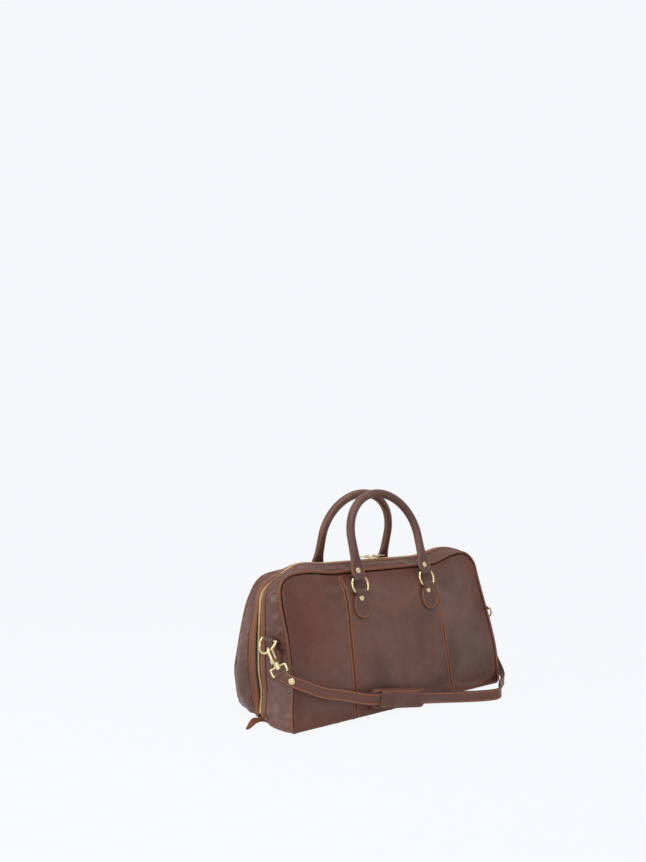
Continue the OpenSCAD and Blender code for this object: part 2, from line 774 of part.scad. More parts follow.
// ---- shoulder pad: a padded leather piece behind the strap and a sleeve over it
pad_dir = unit(pad_end - pad_start);
pad_wide = unit([0, 0, 1] - ([0, 0, 1] * pad_dir) * pad_dir);
pad_out = cross(pad_dir, pad_wide);
pad_l = 130;
pad_t = 5;
pad_cut = 9;                  // size of the pad's cut corners
sleeve_l = 94;
sleeve_room = 0.6;            // room between the sleeve and the strap's edges
sleeve_hem = 3;               // width of the sleeve's sewn edges
module pad_frame() { frame(mix(pad_start, pad_end, 0.45), pad_dir, -pad_out, pad_wide) children(); }

module strap_pad() {
    cut = pad_cut;
    color(dark)
        pad_frame()
            translate([0, strap_t / 2 + gap + pad_t, 0])
                along_y()
                    linear_extrude(height = pad_t)
                        polygon([
                            [-pad_l / 2 + cut, -pad_w / 2], [pad_l / 2 - cut, -pad_w / 2],
                            [pad_l / 2, -pad_w / 2 + cut], [pad_l / 2, pad_w / 2 - cut],
                            [pad_l / 2 - cut, pad_w / 2], [-pad_l / 2 + cut, pad_w / 2],
                            [-pad_l / 2, pad_w / 2 - cut], [-pad_l / 2, -pad_w / 2 + cut]]);
}

module pad_sleeve() {
    inner = strap_w / 2 + sleeve_room;
    front = strap_t / 2 + 0.5;
    color(tan_leather)
        pad_frame()
            along_x()
                linear_extrude(height = sleeve_l, center = true)
                    difference() {
                        translate([-inner - sleeve_hem, -front - fold_t])
                            square([2 * (inner + sleeve_hem), strap_t + 0.7 + fold_t]);
                        translate([-inner, -front]) square([2 * inner, strap_t + 2]);
                    }
}

// ---- mirrored sides
module rear() { mirror([0, 1, 0]) children(); }
module right() { mirror([1, 0, 0]) children(); }
module right_end() { translate([right_shift, 0, 0]) right() children(); }
module right_zip_end() { translate([swell_at(zip_line, base_t), 0, 0]) right() children(); }

base_panel();
base_board();
base_lining();
union() { zip_end_tab(); right_zip_end() zip_end_tab(); }  // zip_end_tabs
side_panel();  // front_panel_left
center_panel();  // front_panel_center
right() side_panel(1);  // front_panel_right
gusset();  // front_gusset
piping();  // front_piping
zip_welt();  // front_zip_welt
zip_tape();  // front_zip_tape
zip_teeth(0.25);  // front_zip_teeth
panel_lining();  // front_panel_lining
gusset_lining();  // front_gusset_lining
handle_tab(-handle_x);  // front_tab_left
handle_tab(handle_x);  // front_tab_right
tab_rivets();  // front_tab_rivets
handle_ring(-handle_x);  // front_ring_left
handle_ring(handle_x);  // front_ring_right
handle();  // front_handle
handle_cord();  // front_handle_cord
handle_rivets();  // front_handle_rivets
rear() side_panel();  // rear_panel_left
rear() center_panel();  // rear_panel_center
rear() right() side_panel(1);  // rear_panel_right
rear() gusset();  // rear_gusset
rear() piping();  // rear_piping
rear() zip_welt();  // rear_zip_welt
rear() zip_tape();  // rear_zip_tape
rear() zip_teeth(0.75);  // rear_zip_teeth
rear() panel_lining();  // rear_panel_lining
rear() gusset_lining();  // rear_gusset_lining
rear() handle_tab(-handle_x);  // rear_tab_left
rear() handle_tab(handle_x);  // rear_tab_right
rear() tab_rivets();  // rear_tab_rivets
rear() handle_ring(-handle_x);  // rear_ring_left
rear() handle_ring(handle_x);  // rear_ring_right
rear() handle();  // rear_handle
rear() handle_cord();  // rear_handle_cord
rear() handle_rivets();  // rear_handle_rivets
right() slider();  // slider_left
slider();  // slider_right
right() pull();  // pull_left
pull();  // pull_right
side_tab();  // side_tab_left
right_end() side_tab();  // side_tab_right
d_ring();  // d_ring_left
right_end() d_ring();  // d_ring_right
hook(0);  // hook_left
right_end() hook(1);  // hook_right
gate(0);  // gate_left
right_end() gate(1);  // gate_right
swivel_loop(0);  // swivel_left
right_end() swivel_loop(1);  // swivel_right
strap();
strap_rivets();
strap_pad();
pad_sleeve();
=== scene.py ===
"""Looks of a leather weekender bag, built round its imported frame.

Lengths are in millimetres until a mesh is made; Blender objects are in metres. X runs along the bag, the
front faces -Y and +Z is up. Soft pieces of both halves are worked out as if for the front half, and the
rear ones are mirrored in Y.
"""

import math

import bmesh
import bpy
import numpy as np
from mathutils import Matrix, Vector
from mathutils.bvhtree import BVHTree


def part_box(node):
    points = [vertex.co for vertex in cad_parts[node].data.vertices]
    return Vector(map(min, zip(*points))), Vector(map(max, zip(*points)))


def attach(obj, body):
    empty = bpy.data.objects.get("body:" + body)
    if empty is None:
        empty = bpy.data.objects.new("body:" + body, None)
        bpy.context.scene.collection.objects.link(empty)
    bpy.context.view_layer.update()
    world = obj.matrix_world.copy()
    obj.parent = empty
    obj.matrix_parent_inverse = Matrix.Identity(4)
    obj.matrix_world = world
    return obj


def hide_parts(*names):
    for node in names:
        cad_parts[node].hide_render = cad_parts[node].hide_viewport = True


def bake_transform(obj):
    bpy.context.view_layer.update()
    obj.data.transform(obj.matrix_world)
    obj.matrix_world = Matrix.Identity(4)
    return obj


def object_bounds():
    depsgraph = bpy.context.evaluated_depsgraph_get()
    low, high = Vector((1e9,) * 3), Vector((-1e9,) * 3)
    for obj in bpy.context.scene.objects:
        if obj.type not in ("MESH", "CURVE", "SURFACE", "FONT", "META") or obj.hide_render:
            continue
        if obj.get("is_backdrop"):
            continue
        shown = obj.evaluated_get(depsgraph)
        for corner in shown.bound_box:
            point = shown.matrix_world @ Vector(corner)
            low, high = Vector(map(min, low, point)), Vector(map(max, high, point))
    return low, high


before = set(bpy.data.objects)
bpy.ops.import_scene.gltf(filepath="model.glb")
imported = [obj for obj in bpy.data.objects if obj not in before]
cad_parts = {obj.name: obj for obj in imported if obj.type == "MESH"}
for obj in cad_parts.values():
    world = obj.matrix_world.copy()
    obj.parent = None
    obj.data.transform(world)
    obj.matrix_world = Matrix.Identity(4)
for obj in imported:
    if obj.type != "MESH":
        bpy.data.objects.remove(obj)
cad_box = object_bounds()

MM = 0.001
SIDES = {-1: "left", 1: "right"}


def box_mm(node):
    """The lowest and highest corner of a CAD node, in millimetres."""
    low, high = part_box(node)
    return np.array(low) / MM, np.array(high) / MM


# ---- driving dimensions, the same as the frame's
HALF_L = box_mm("base_panel")[1][0]
BASE_T = box_mm("base_panel")[1][2]
HALF_D = 95.0
WALL_H = 252.0
HALF_TOP = 40.0
PANEL_CROWN = 16.0
GUSSET_CROWN = 4.0
SEAM_X = 119.0
LEATHER_T = 2.4
PIPE_R = 2.75
RIGHT_SWELL = 13.0
RIGHT_SHIFT = RIGHT_SWELL - 1
LEAN = (HALF_D - HALF_TOP) / WALL_H
ZIP_CLEAR = 5.0
WELT_W = 13.4
WELT_END = ZIP_CLEAR + WELT_W
HANDLE_X = 84.0
TAB_RIVET_Z = 197.0
WALL_TILT = math.radians(16)
STAND_OFF = 0.7
FOLD_T = 1.8
FOLD_HALF = 0.85
BORE_R = 2.08
BAR_Y = -5.0
LOW_BAR = 11.5
HIGH_BAR = 33.5
GRIP_R = 7.75
HANDLE_RISE = 197.0
STRAP_W = 20.0
STRAP_T = 3.4
STITCH_PITCH = 4.3
THREAD_R = 0.55
STITCH_SHARE = 0.35


def mix(a, b, share):
    return a + (b - a) * share


def smooth(share):
    c = np.clip(share, 0, 1)
    return c * c * (3 - 2 * c)


def bell(value, middle, width):
    """1 at the middle, falling smoothly to 0 at about two widths."""
    return np.exp(-(((value - middle) / width) ** 2))


def unit(v):
    v = np.asarray(v, float)
    return v / np.linalg.norm(v, axis=-1, keepdims=True)


def rows3(*parts):
    """Points of shape (..., 3) from three coordinates that broadcast together."""
    return np.stack(np.broadcast_arrays(*parts), axis=-1).astype(float)


# ---- outlines of the piping and of the zip, seen from the front
SIDE_SHARE = 0.45
CORNER_SHARE = 0.17
SAG_SHARE = 0.42


class Outline:
    """An arch that stands on the base: straight bulging sides, round corners and a sagging top."""

    def __init__(self, base, top, height, corner, bulge, sag, swell):
        self.base, self.top, self.height = base, top, height
        self.corner, self.bulge, self.sag, self.swell = corner, bulge, sag, swell
        self.corner_x = self.side_x(height - corner) - corner

    def side_x(self, z):
        share = z / self.height
        return mix(self.base, self.top, share) + self.bulge * 4 * share * (1 - share)

    def top_z(self, x):
        return self.height - self.sag * smooth((1 - np.abs(x) / self.corner_x) / SAG_SHARE)

    def edge_x(self, z):
        up = z - self.height + self.corner
        round_x = self.corner_x + np.sqrt(np.maximum(0, self.corner**2 - up**2))
        return np.where(up <= 0, self.side_x(z), round_x)

    def swell_at(self, z):
        return self.swell * np.sin(np.pi * (z + 0.2 * WALL_H) / (1.2 * WALL_H)) ** 2

    def half(self, f):
        """Point of the left half, f = 0 at the base and 1 at the middle of the top."""
        z_side = mix(BASE_T, self.height - self.corner, f / SIDE_SHARE)
        a = np.pi / 2 * (f - SIDE_SHARE) / CORNER_SHARE
        x_top = -self.corner_x * (1 - f) / (1 - SIDE_SHARE - CORNER_SHARE)
        where = [f < SIDE_SHARE, f < SIDE_SHARE + CORNER_SHARE]
        x = np.select(where, [-self.side_x(z_side), -self.corner_x - self.corner * np.cos(a)], x_top)
        z = np.select(where, [z_side, self.height - self.corner * (1 - np.sin(a))], self.top_z(x_top))
        return x, z

    def arch(self, f):
        """Point of the whole outline, f = 0 at the left end of the base and 1 at the right end."""
        x, z = self.half(np.where(f <= 0.5, 2 * f, 2 - 2 * f))
        return np.where(f <= 0.5, x, -x + self.swell_at(z)), z

    def out(self, f):
        """Outward direction of the outline in X and Z."""
        x1, z1 = self.arch(np.maximum(0, f - 0.004))
        x2, z2 = self.arch(np.minimum(1, f + 0.004))
        run = np.hypot(x2 - x1, z2 - z1)
        return -(z2 - z1) / run, (x2 - x1) / run


PIPE = Outline(HALF_L + 2, HALF_L - 10, WALL_H, 35, 3, 10, RIGHT_SWELL)
ZIP = Outline(HALF_L, HALF_L - 4, 260, 68, 6, 5, 0.6 * RIGHT_SWELL)


def wall_y(z):
    return -(HALF_D - LEAN * z)


SLUMP_LEFT = 120
SLUMP_RIGHT = 98
SLUMP_TOP = 195
CORNER_DROP = 15


def slump(points, rear):
    """How the soft body has settled: dented at the left end, high at the right end of the top."""
    x, y, z = points[..., 0], points[..., 1], points[..., 2]
    share = np.clip(y / wall_y(z), 0, 1)
    outer = np.clip(-y / 60, 0, 1)
    left = smooth((-x - SLUMP_LEFT) / 110)
    right = smooth((x - SLUMP_RIGHT) / 90)
    upper = smooth((z - 130) / 90)
    top = smooth((z - SLUMP_TOP) / 40)
    zip_dent = 5 * bell(z, 48, 26)
    corner_drop = CORNER_DROP * top * bell(x, -216, 32)
    dy = 0 * x
    if rear:
        foot = smooth((-x - 180) / 65) * outer
        low = 1 - smooth((z - 8) / 75)
        belly = 4 * share * (1 - share) * smooth(z / 40) * (1 - smooth((z - 120) / 90))
        pulled_in = 8 * low + 12 * bell(z, 240, 32) + 6 * bell(z, 0, 14)
        dx = left * (mix(zip_dent, pulled_in, outer) - 9 * belly)
        dx = dx + right * outer * 4 * bell(z, 90, 50)
        dy = 13 * foot * low
        dz = 5 * right * upper - 5 * upper * smooth(share * 2.2) - (1 - 0.7 * outer) * corner_drop
        dz = dz + 9 * foot * bell(z, 4, 20)
    else:
        dent = mix(zip_dent, 10 * bell(z, 84, 44) + 5 * bell(z, 146, 34), outer)
        dx = left * (dent - 3 * outer * bell(z, 215, 30))
        dx = dx + right * outer * (3 * bell(z, 60, 45) + 3.5 * bell(z, 232, 26))
        dz = 8 * right * upper - 2 * left * outer * bell(z, 250, 12) - (1 - outer) * corner_drop
    return points + rows3(dx, dy, dz)


# ---- the two surfaces of a half: its panel, and its gusset from the zip to the piping
PANEL_INSET = PIPE_R + 0.4
PANEL_Z0 = BASE_T + PANEL_INSET
FOOT_HANG = 4.6


def panel_crown(x, z):
    across = 1 - np.minimum(1, np.abs(x) / HALF_L) ** 4
    return PANEL_CROWN * (1 - (2 * z / WALL_H - 1) ** 4) * across


def panel_foot(z):
    """How far the panel's lower edge hangs down over the piping of the base."""
    return FOOT_HANG * (1 - smooth((z - PANEL_Z0) / 26))


def panel_edges(share):
    """Left and right ends of the panel at a share of its height."""
    z = mix(PANEL_Z0, WALL_H - PANEL_INSET, share)
    half = PIPE.edge_x(z + PANEL_INSET * z / WALL_H) - PANEL_INSET
    return -half, half + PIPE.swell_at(z)


def panel_point(a, b):
    """Point of the panel: a runs from the left edge to the right one, b from the base to the top."""
    left, right = panel_edges(b)
    x = mix(left, right, a)
    z = mix(PANEL_Z0, PIPE.top_z(x) - PANEL_INSET, b)
    flat_top = 1 - smooth((b - 0.88) / 0.12)
    return rows3(x, wall_y(z) - panel_crown(x, z) * flat_top, z)


def seam_share(side, b):
    """Where the left (-1) or right (1) seam crosses the panel at a share of its height."""
    left, right = panel_edges(b)
    z = mix(PANEL_Z0, WALL_H - PANEL_INSET, b)
    return (side * (SEAM_X - 6 * z / WALL_H) - left) / (right - left)


def zip_point(f):
    x, z = ZIP.arch(f)
    return rows3(x, 0.0, z)


def pipe_point(f):
    x, z = PIPE.arch(f)
    return rows3(x, wall_y(z), z)


def gusset_point(f, share):
    """Point of the gusset: f runs along the zip, share from the zip (0) to the piping (1)."""
    a, b = zip_point(f), pipe_point(f)
    out_x, out_z = ZIP.out(f)
    crown = GUSSET_CROWN * 4 * share * (1 - share)
    return mix(a, b, share[..., None]) + rows3(out_x * crown, 0.0, out_z * crown)


def gusset_span(f):
    return np.linalg.norm(pipe_point(f) - zip_point(f), axis=-1)


# ---- mesh making
def quads(rows, cols):
    return [
        (i * cols + j, i * cols + j + 1, (i + 1) * cols + j + 1, (i + 1) * cols + j)
        for i in range(rows - 1)
        for j in range(cols - 1)
    ]


SHARP_ANGLE = 42


def make_mesh(name, points, faces, material):
    """A Blender object from points in millimetres."""
    mesh = bpy.data.meshes.new(name)
    mesh.from_pydata((np.asarray(points, float).reshape(-1, 3) * MM).tolist(), [], faces)
    mesh.validate()
    mesh.shade_smooth()
    mesh.set_sharp_from_angle(angle=math.radians(SHARP_ANGLE))
    piece = bpy.data.objects.new(name, mesh)
    bpy.context.scene.collection.objects.link(piece)
    if material:
        mesh.materials.append(material)
    return piece


def shell_faces(rows, cols, flip):
    """Faces of a closed shell whose outer grid comes first and whose inner grid follows it."""
    count = rows * cols
    faces = quads(rows, cols)
    faces += [tuple(count + k for k in reversed(q)) for q in quads(rows, cols)]
    for i in range(rows - 1):
        a, b = i * cols, (i + 1) * cols
        faces.append((a, b, count + b, count + a))
        a, b = a + cols - 1, b + cols - 1
        faces.append((a, count + a, count + b, b))
    for j in range(cols - 1):
        faces.append((j, count + j, count + j + 1, j + 1))
        a = (rows - 1) * cols + j
        faces.append((a, a + 1, count + a + 1, count + a))
    return [tuple(reversed(f)) for f in faces] if flip else faces


def make_shell(name, outer, inner, material, flip=False):
    """A closed shell between two grids of points."""
    points = np.concatenate([outer.reshape(-1, 3), inner.reshape(-1, 3)])
    return make_mesh(name, points, shell_faces(*outer.shape[:2], flip), material)


def ring_faces(rows, ring, closed=False):
    """Faces between rings of points that follow each other."""
    faces = []
    for i in range(rows if closed else rows - 1):
        a, b = i * ring, (i + 1) % rows * ring
        for k in range(ring):
            m = (k + 1) % ring
            faces.append((a + k, a + m, b + m, b + k))
    return faces


def softened(outline, rounds):
    """A closed outline with its corners eased."""
    for _ in range(rounds):
        outline = (np.roll(outline, 1, 0) + 2 * outline + np.roll(outline, -1, 0)) / 4
    return outline


def tie(piece, body, slot, *nodes):
    """Puts a stiff piece on a body and hides the CAD nodes that it stands for; the slot is not used."""
    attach(piece, body)
    if nodes:
        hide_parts(*nodes)


def attribute(piece, name, values):
    """A number per vertex that materials can read."""
    layer = piece.data.attributes.new(name, "FLOAT", "POINT")
    layer.data.foreach_set("value", np.asarray(values, np.float32).ravel())


def bevel(piece, width, segments=2, angle=35):
    modifier = piece.modifiers.new("bevel", "BEVEL")
    modifier.width = width * MM
    modifier.segments = segments
    modifier.limit_method = "ANGLE"
    modifier.angle_limit = math.radians(angle)
    return piece


def catmull(t):
    """The four Catmull-Rom weights at share t between the two middle points."""
    return (
        -0.5 * t + t * t - 0.5 * t**3,
        1 - 2.5 * t * t + 1.5 * t**3,
        0.5 * t + 2 * t * t - 1.5 * t**3,
        -0.5 * t * t + 0.5 * t**3,
    )


class Sheet:
    """A smooth surface through a grid of points; both shares run from 0 to 1."""

    def __init__(self, grid, sign):
        self.grid = grid
        self.sign = sign

    def point(self, a, b):
        rows, cols = self.grid.shape[:2]
        u = np.clip(a, 0, 1) * (rows - 1)
        v = np.clip(b, 0, 1) * (cols - 1)
        i = np.minimum(np.floor(u).astype(int), rows - 2)
        j = np.minimum(np.floor(v).astype(int), cols - 2)
        weights_a, weights_b = catmull(u - i), catmull(v - j)
        total = 0
        for m in range(4):
            for n in range(4):
                row = np.clip(i + m - 1, 0, rows - 1)
                col = np.clip(j + n - 1, 0, cols - 1)
                total = total + (weights_a[m] * weights_b[n])[..., None] * self.grid[row, col]
        return total

    def normal(self, a, b):
        step = 0.004
        along = self.point(np.minimum(a + step, 1), b) - self.point(np.maximum(a - step, 0), b)
        across = self.point(a, np.minimum(b + step, 1)) - self.point(a, np.maximum(b - step, 0))
        return unit(np.cross(along, across)) * self.sign

    def at(self, a, b, out=0.0):
        a, b, out = np.broadcast_arrays(a, b, out)
        a, b, out = a.astype(float), b.astype(float), out.astype(float)
        return self.point(a, b) + self.normal(a, b) * out[..., None]


# ---- cloth simulation of a sheet
SIM_FRAMES = 22
CLOTH = {
    "quality": 6, "mass": 0.35, "tension_stiffness": 30, "compression_stiffness": 30, "shear_stiffness": 12,
    "bending_stiffness": 4, "air_damping": 2, "vertex_group_mass": "pins", "pin_stiffness": 1,
    "use_pressure": True,
}
MOST_MOVED = 7.0


def relax(grid, pins, pressure, growth, gravity):
    """The grid after its leather has settled with the pins held; no point moves more than MOST_MOVED."""
    rows, cols = grid.shape[:2]
    sheet = make_mesh("settling", grid, quads(rows, cols), None)
    group = sheet.vertex_groups.new(name="pins")
    for index, weight in enumerate(pins.ravel()):
        group.add([index], float(weight), "REPLACE")
    cloth = sheet.modifiers.new("cloth", "CLOTH")
    for key, value in CLOTH.items():
        setattr(cloth.settings, key, value)
    cloth.settings.shrink_min = -growth
    cloth.settings.uniform_pressure_force = pressure
    cloth.settings.effector_weights.gravity = gravity
    cloth.collision_settings.use_collision = False
    cloth.point_cache.frame_end = SIM_FRAMES
    scene = bpy.context.scene
    for number in range(1, SIM_FRAMES + 1):
        scene.frame_set(number)
    settled = sheet.evaluated_get(bpy.context.evaluated_depsgraph_get())
    points = np.zeros(rows * cols * 3, np.float32)
    settled.data.vertices.foreach_get("co", points)
    scene.frame_set(1)
    bpy.data.objects.remove(sheet)
    moved = points.reshape(rows, cols, 3) / MM - grid
    reach = np.linalg.norm(moved, axis=-1, keepdims=True)
    return grid + moved * np.tanh(reach / MOST_MOVED) * MOST_MOVED / np.maximum(reach, 1e-6)


def ripple(x, z, seed):
    """A gentle uneven swell, about 1 at its highest, that starts the folds."""
    total = 0
    for k in range(1, 6):
        turn = seed * 1.7 + k * 2.4
        total = total + np.sin((x * math.cos(turn) + z * math.sin(turn)) / (17 + 9 * k) + turn * 3) / 2.5
    return total


PANEL_GRID = (97, 49)
GUSSET_GRID = (221, 15)


def shares(grid_size):
    """Both shares at each point of a sheet's grid."""
    return np.meshgrid(*(np.linspace(0, 1, count) for count in grid_size), indexing="ij")


def settled_panel(rear):
    a, b = shares(PANEL_GRID)
    grid = slump(panel_point(a, b), rear)
    x, z = grid[..., 0], grid[..., 2]
    edge = np.minimum.reduce([a * 500, (1 - a) * 500, b * 245, (1 - b) * 245])
    pins = 1 - smooth(edge / 14)
    for side in (-1, 1):
        tab = np.hypot(x - side * HANDLE_X, (z - TAB_RIVET_Z + 6) * 0.8)
        pins = np.maximum(pins, 1 - smooth((tab - 22) / 14))
    free = 1 - np.clip(pins, 0, 1)
    grid[..., 1] += 1.2 * free * ripple(x, z, 3 if rear else 1)
    settled = relax(grid, pins, -0.5, 0.012, 0.6)
    settled[..., 2] -= panel_foot(settled[..., 2])
    return Sheet(settled, 1)


def settled_gusset(rear):
    f, b = shares(GUSSET_GRID)
    grid = slump(gusset_point(f, b), rear)
    dist = b * gusset_span(f)
    to_pipe = gusset_span(f) - dist
    pins = np.maximum(1 - smooth((dist - WELT_END) / 8), 1 - smooth(to_pipe / 9))
    return Sheet(relax(grid, pins, 0.8 if rear else 0.4, 0.03, 0.5), -1)


# ---- materials
def srgb(red, green, blue):
    """A linear colour from 0 to 255 values."""
    parts = [c / 255 for c in (red, green, blue)]
    return [c / 12.92 if c <= 0.04045 else ((c + 0.055) / 1.055) ** 2.4 for c in parts] + [1.0]


class Graph:
    """A material's node tree, with short calls for the nodes that the finishes share."""

    def __init__(self, name):
        self.material = bpy.data.materials.new(name)
        self.material.use_nodes = True
        self.tree = self.material.node_tree
        self.shader = self.tree.nodes["Principled BSDF"]
        self.place = self.node("ShaderNodeTexCoord").outputs["Object"]

    def node(self, kind, **settings):
        made = self.tree.nodes.new(kind)
        for key, value in settings.items():
            setattr(made, key, value)
        return made

    def put(self, socket, value):
        if isinstance(value, bpy.types.NodeSocket):
            self.tree.links.new(value, socket)
        else:
            socket.default_value = value

    def fill(self, made, output, **inputs):
        """Sets a node's inputs and gives one of its outputs."""
        for key, value in inputs.items():
            self.put(made.inputs[key], value)
        return made.outputs[output]

    def noise(self, scale, detail=3.0, rough=0.5, twist=0.0):
        made = self.node("ShaderNodeTexNoise")
        return self.fill(made, "Fac", Vector=self.place, Scale=scale, Detail=detail, Roughness=rough,
                         Distortion=twist)

    def cells(self, scale):
        return self.fill(self.node("ShaderNodeTexVoronoi"), "Distance", Vector=self.place, Scale=scale)

    def waves(self, scale, direction):
        made = self.node("ShaderNodeTexWave", bands_direction=direction)
        return self.fill(made, "Fac", Vector=self.place, Scale=scale)

    def remap(self, value, low, high, to_low=0.0, to_high=1.0):
        made = self.node("ShaderNodeMapRange", interpolation_type="SMOOTHSTEP")
        for key, number in zip(("Value", "From Min", "From Max", "To Min", "To Max"),
                               (value, low, high, to_low, to_high)):
            self.put(made.inputs[key], number)
        return made.outputs["Result"]

    def math(self, kind, a, b):
        made = self.node("ShaderNodeMath", operation=kind)
        self.put(made.inputs[0], a)
        self.put(made.inputs[1], b)
        return made.outputs[0]

    def blend(self, share, a, b):
        made = self.node("ShaderNodeMix", data_type="RGBA")
        self.put(made.inputs[0], share)
        self.put(made.inputs[6], a)
        self.put(made.inputs[7], b)
        return made.outputs[2]

    def mark(self, name):
        return self.node("ShaderNodeAttribute", attribute_name=name).outputs["Fac"]

    def bump(self, height, depth_mm, under=None):
        made = self.node("ShaderNodeBump")
        self.put(made.inputs["Height"], height)
        self.put(made.inputs["Distance"], depth_mm * MM)
        if under:
            self.put(made.inputs["Normal"], under)
        return made.outputs["Normal"]

    def finish(self, **inputs):
        for key, value in inputs.items():
            self.put(self.shader.inputs[key.replace("_", " ")], value)
        return self.material


def leather(name, body, deep, warm, roughness=0.46, burnish_all=0.0):
    """Oiled leather: cloudy colour, warm burnish, painted pinkish sheen in random patches, dark seams with
    painted groove shade where marked, pores and worn crests.
    """
    g = Graph(name)
    cloud = g.remap(g.noise(7, 3, 0.55, 0.8), 0.36, 0.66)
    mottle = g.remap(g.noise(60, 5, 0.6), 0.3, 0.75)
    colour = g.blend(g.math("MULTIPLY", cloud, 0.75), body, deep)
    colour = g.blend(g.math("MULTIPLY", mottle, 0.28), colour, deep)
    warmth = g.math("ADD", g.mark("burnish"), burnish_all)
    patch = g.remap(g.noise(16, 4, 0.6, 1.2), 0.25, 0.7, 0.35, 1.0)
    colour = g.blend(g.math("MULTIPLY", warmth, patch), colour, warm)
    # painted pinkish sheen: broad random patches lightened towards a highlight colour
    painted_sheen = g.remap(g.noise(5, 2, 0.5, 0.6), 0.55, 0.75)
    colour = g.blend(g.math("MULTIPLY", painted_sheen, 0.22), colour, srgb(176, 146, 140))
    crest = g.remap(g.node("ShaderNodeNewGeometry").outputs["Pointiness"], 0.51, 0.58)
    colour = g.blend(g.math("MULTIPLY", crest, 0.3), colour, g.blend(0.5, colour, srgb(178, 128, 104)))
    # seam mark: the leather's dark joints, and painted shade in the grooves beside the piping and the welt
    colour = g.blend(g.math("MULTIPLY", g.mark("seam"), 0.9), colour, SEAM_DARK_AND_GROOVE_SHADE)
    pores = g.cells(850)
    grain = g.noise(420, 4, 0.65)
    creases = g.remap(g.noise(85, 4, 0.6, 1.6), 0.35, 0.7)
    normal = g.bump(creases, 0.22)
    normal = g.bump(grain, 0.12, normal)
    normal = g.bump(pores, 0.08, normal)
    shine = g.remap(g.noise(38, 4, 0.6), 0.3, 0.7, roughness - 0.06, roughness + 0.1)
    return g.finish(Base_Color=colour, Roughness=shine, Normal=normal, Specular_IOR_Level=0.45,
                    Coat_Weight=0.08, Coat_Roughness=0.3)


def thread(name, colour, dark):
    """Waxed thread: fine twist along its length and a dull sheen."""
    g = Graph(name)
    twist = g.waves(900, "DIAGONAL")
    paint = g.blend(g.math("MULTIPLY", twist, 0.4), colour, dark)
    paint = g.blend(g.math("MULTIPLY", g.noise(60, 3), 0.5), paint, dark)
    return g.finish(Base_Color=paint, Roughness=0.6, Normal=g.bump(twist, 0.08), Sheen_Weight=0.2)


def metal(name, bright, tarnish, roughness):
    """Plated brass: faint tarnish in clouds, hairline scratches and small dents."""
    g = Graph(name)
    cloud = g.remap(g.noise(90, 4, 0.6), 0.45, 0.8)
    colour = g.blend(g.math("MULTIPLY", cloud, 0.45), bright, tarnish)
    hairline = g.noise(900, 3, 0.7, 2.0)
    dents = g.noise(160, 2, 0.5)
    normal = g.bump(dents, 0.10)
    normal = g.bump(hairline, 0.02, normal)
    shine = g.remap(g.noise(220, 4, 0.6), 0.3, 0.75, roughness, roughness + 0.14)
    return g.finish(Base_Color=colour, Metallic=1.0, Roughness=shine, Normal=normal)


def woven(name, colour, dark, pitch_mm, roughness, depth_mm):
    """Cloth with warp and weft crossing at the given pitch, in any direction of the piece."""
    g = Graph(name)
    scale = math.pi / (pitch_mm * MM) / 10
    over = g.math("MULTIPLY", g.waves(scale, "X"), g.waves(scale, "Z"))
    under = g.math("MULTIPLY", g.waves(scale, "Y"), g.waves(scale, "DIAGONAL"))
    weave = g.math("MAXIMUM", over, under)
    paint = g.blend(weave, dark, colour)
    paint = g.blend(g.math("MULTIPLY", g.noise(30, 4), 0.35), paint, dark)
    return g.finish(Base_Color=paint, Roughness=roughness, Normal=g.bump(weave, depth_mm), Sheen_Weight=0.3)


def fibre_board(name):
    """Pressed board: flecks of fibre in grey and brown."""
    g = Graph(name)
    flecks = g.noise(260, 5, 0.7, 1.0)
    paint = g.blend(g.remap(flecks, 0.35, 0.7), srgb(54, 48, 44), srgb(92, 82, 72))
    return g.finish(Base_Color=paint, Roughness=0.85, Normal=g.bump(flecks, 0.2))


# dark colour of the seams: dark joints, and painted shade in the grooves beside the piping and the welt
SEAM_DARK_AND_GROOVE_SHADE = srgb(38, 22, 18)
BODY_LEATHER = leather("body_leather", srgb(120, 81, 69), srgb(84, 52, 42), srgb(102, 46, 28), 0.42)
TRIM_LEATHER = leather("trim_leather", srgb(126, 82, 62), srgb(96, 58, 42), srgb(128, 68, 40), 0.42, 0.2)
TAB_LEATHER = leather("tab_leather", srgb(104, 70, 60), srgb(78, 50, 42), srgb(104, 56, 38), 0.44)
HANDLE_LEATHER = leather("handle_leather", srgb(112, 76, 66), srgb(82, 52, 44), srgb(108, 58, 42), 0.42)
STRAP_LEATHER = leather("strap_leather", srgb(118, 76, 62), srgb(88, 54, 44), srgb(122, 62, 40), 0.46, 0.15)
EDGE_PAINT = leather("edge_paint", srgb(50, 34, 30), srgb(38, 26, 24), srgb(56, 34, 26), 0.5)
THREAD = thread("thread", srgb(238, 150, 82), srgb(196, 112, 56))
BRASS = metal("brass_hardware", srgb(240, 220, 172), srgb(204, 170, 112), 0.22)
TEETH_BRASS = metal("zip_brass", srgb(250, 226, 168), srgb(206, 172, 112), 0.32)
TAPE = woven("zip_tape", srgb(26, 22, 20), srgb(8, 8, 8), 0.9, 0.8, 0.15)
LINING = woven("lining_cloth", srgb(150, 126, 98), srgb(104, 84, 62), 1.1, 0.85, 0.2)
CORD = woven("handle_cord", srgb(196, 184, 160), srgb(150, 136, 112), 1.6, 0.9, 0.4)
BOARD = fibre_board("base_board")


# ---- stitches
def along(points):
    """Distance run at each point of a line."""
    return np.concatenate([[0], np.cumsum(np.linalg.norm(np.diff(points, axis=0), axis=1))])


def resample(values, run, places):
    return np.stack([np.interp(places, run, values[:, k]) for k in range(3)], axis=1)


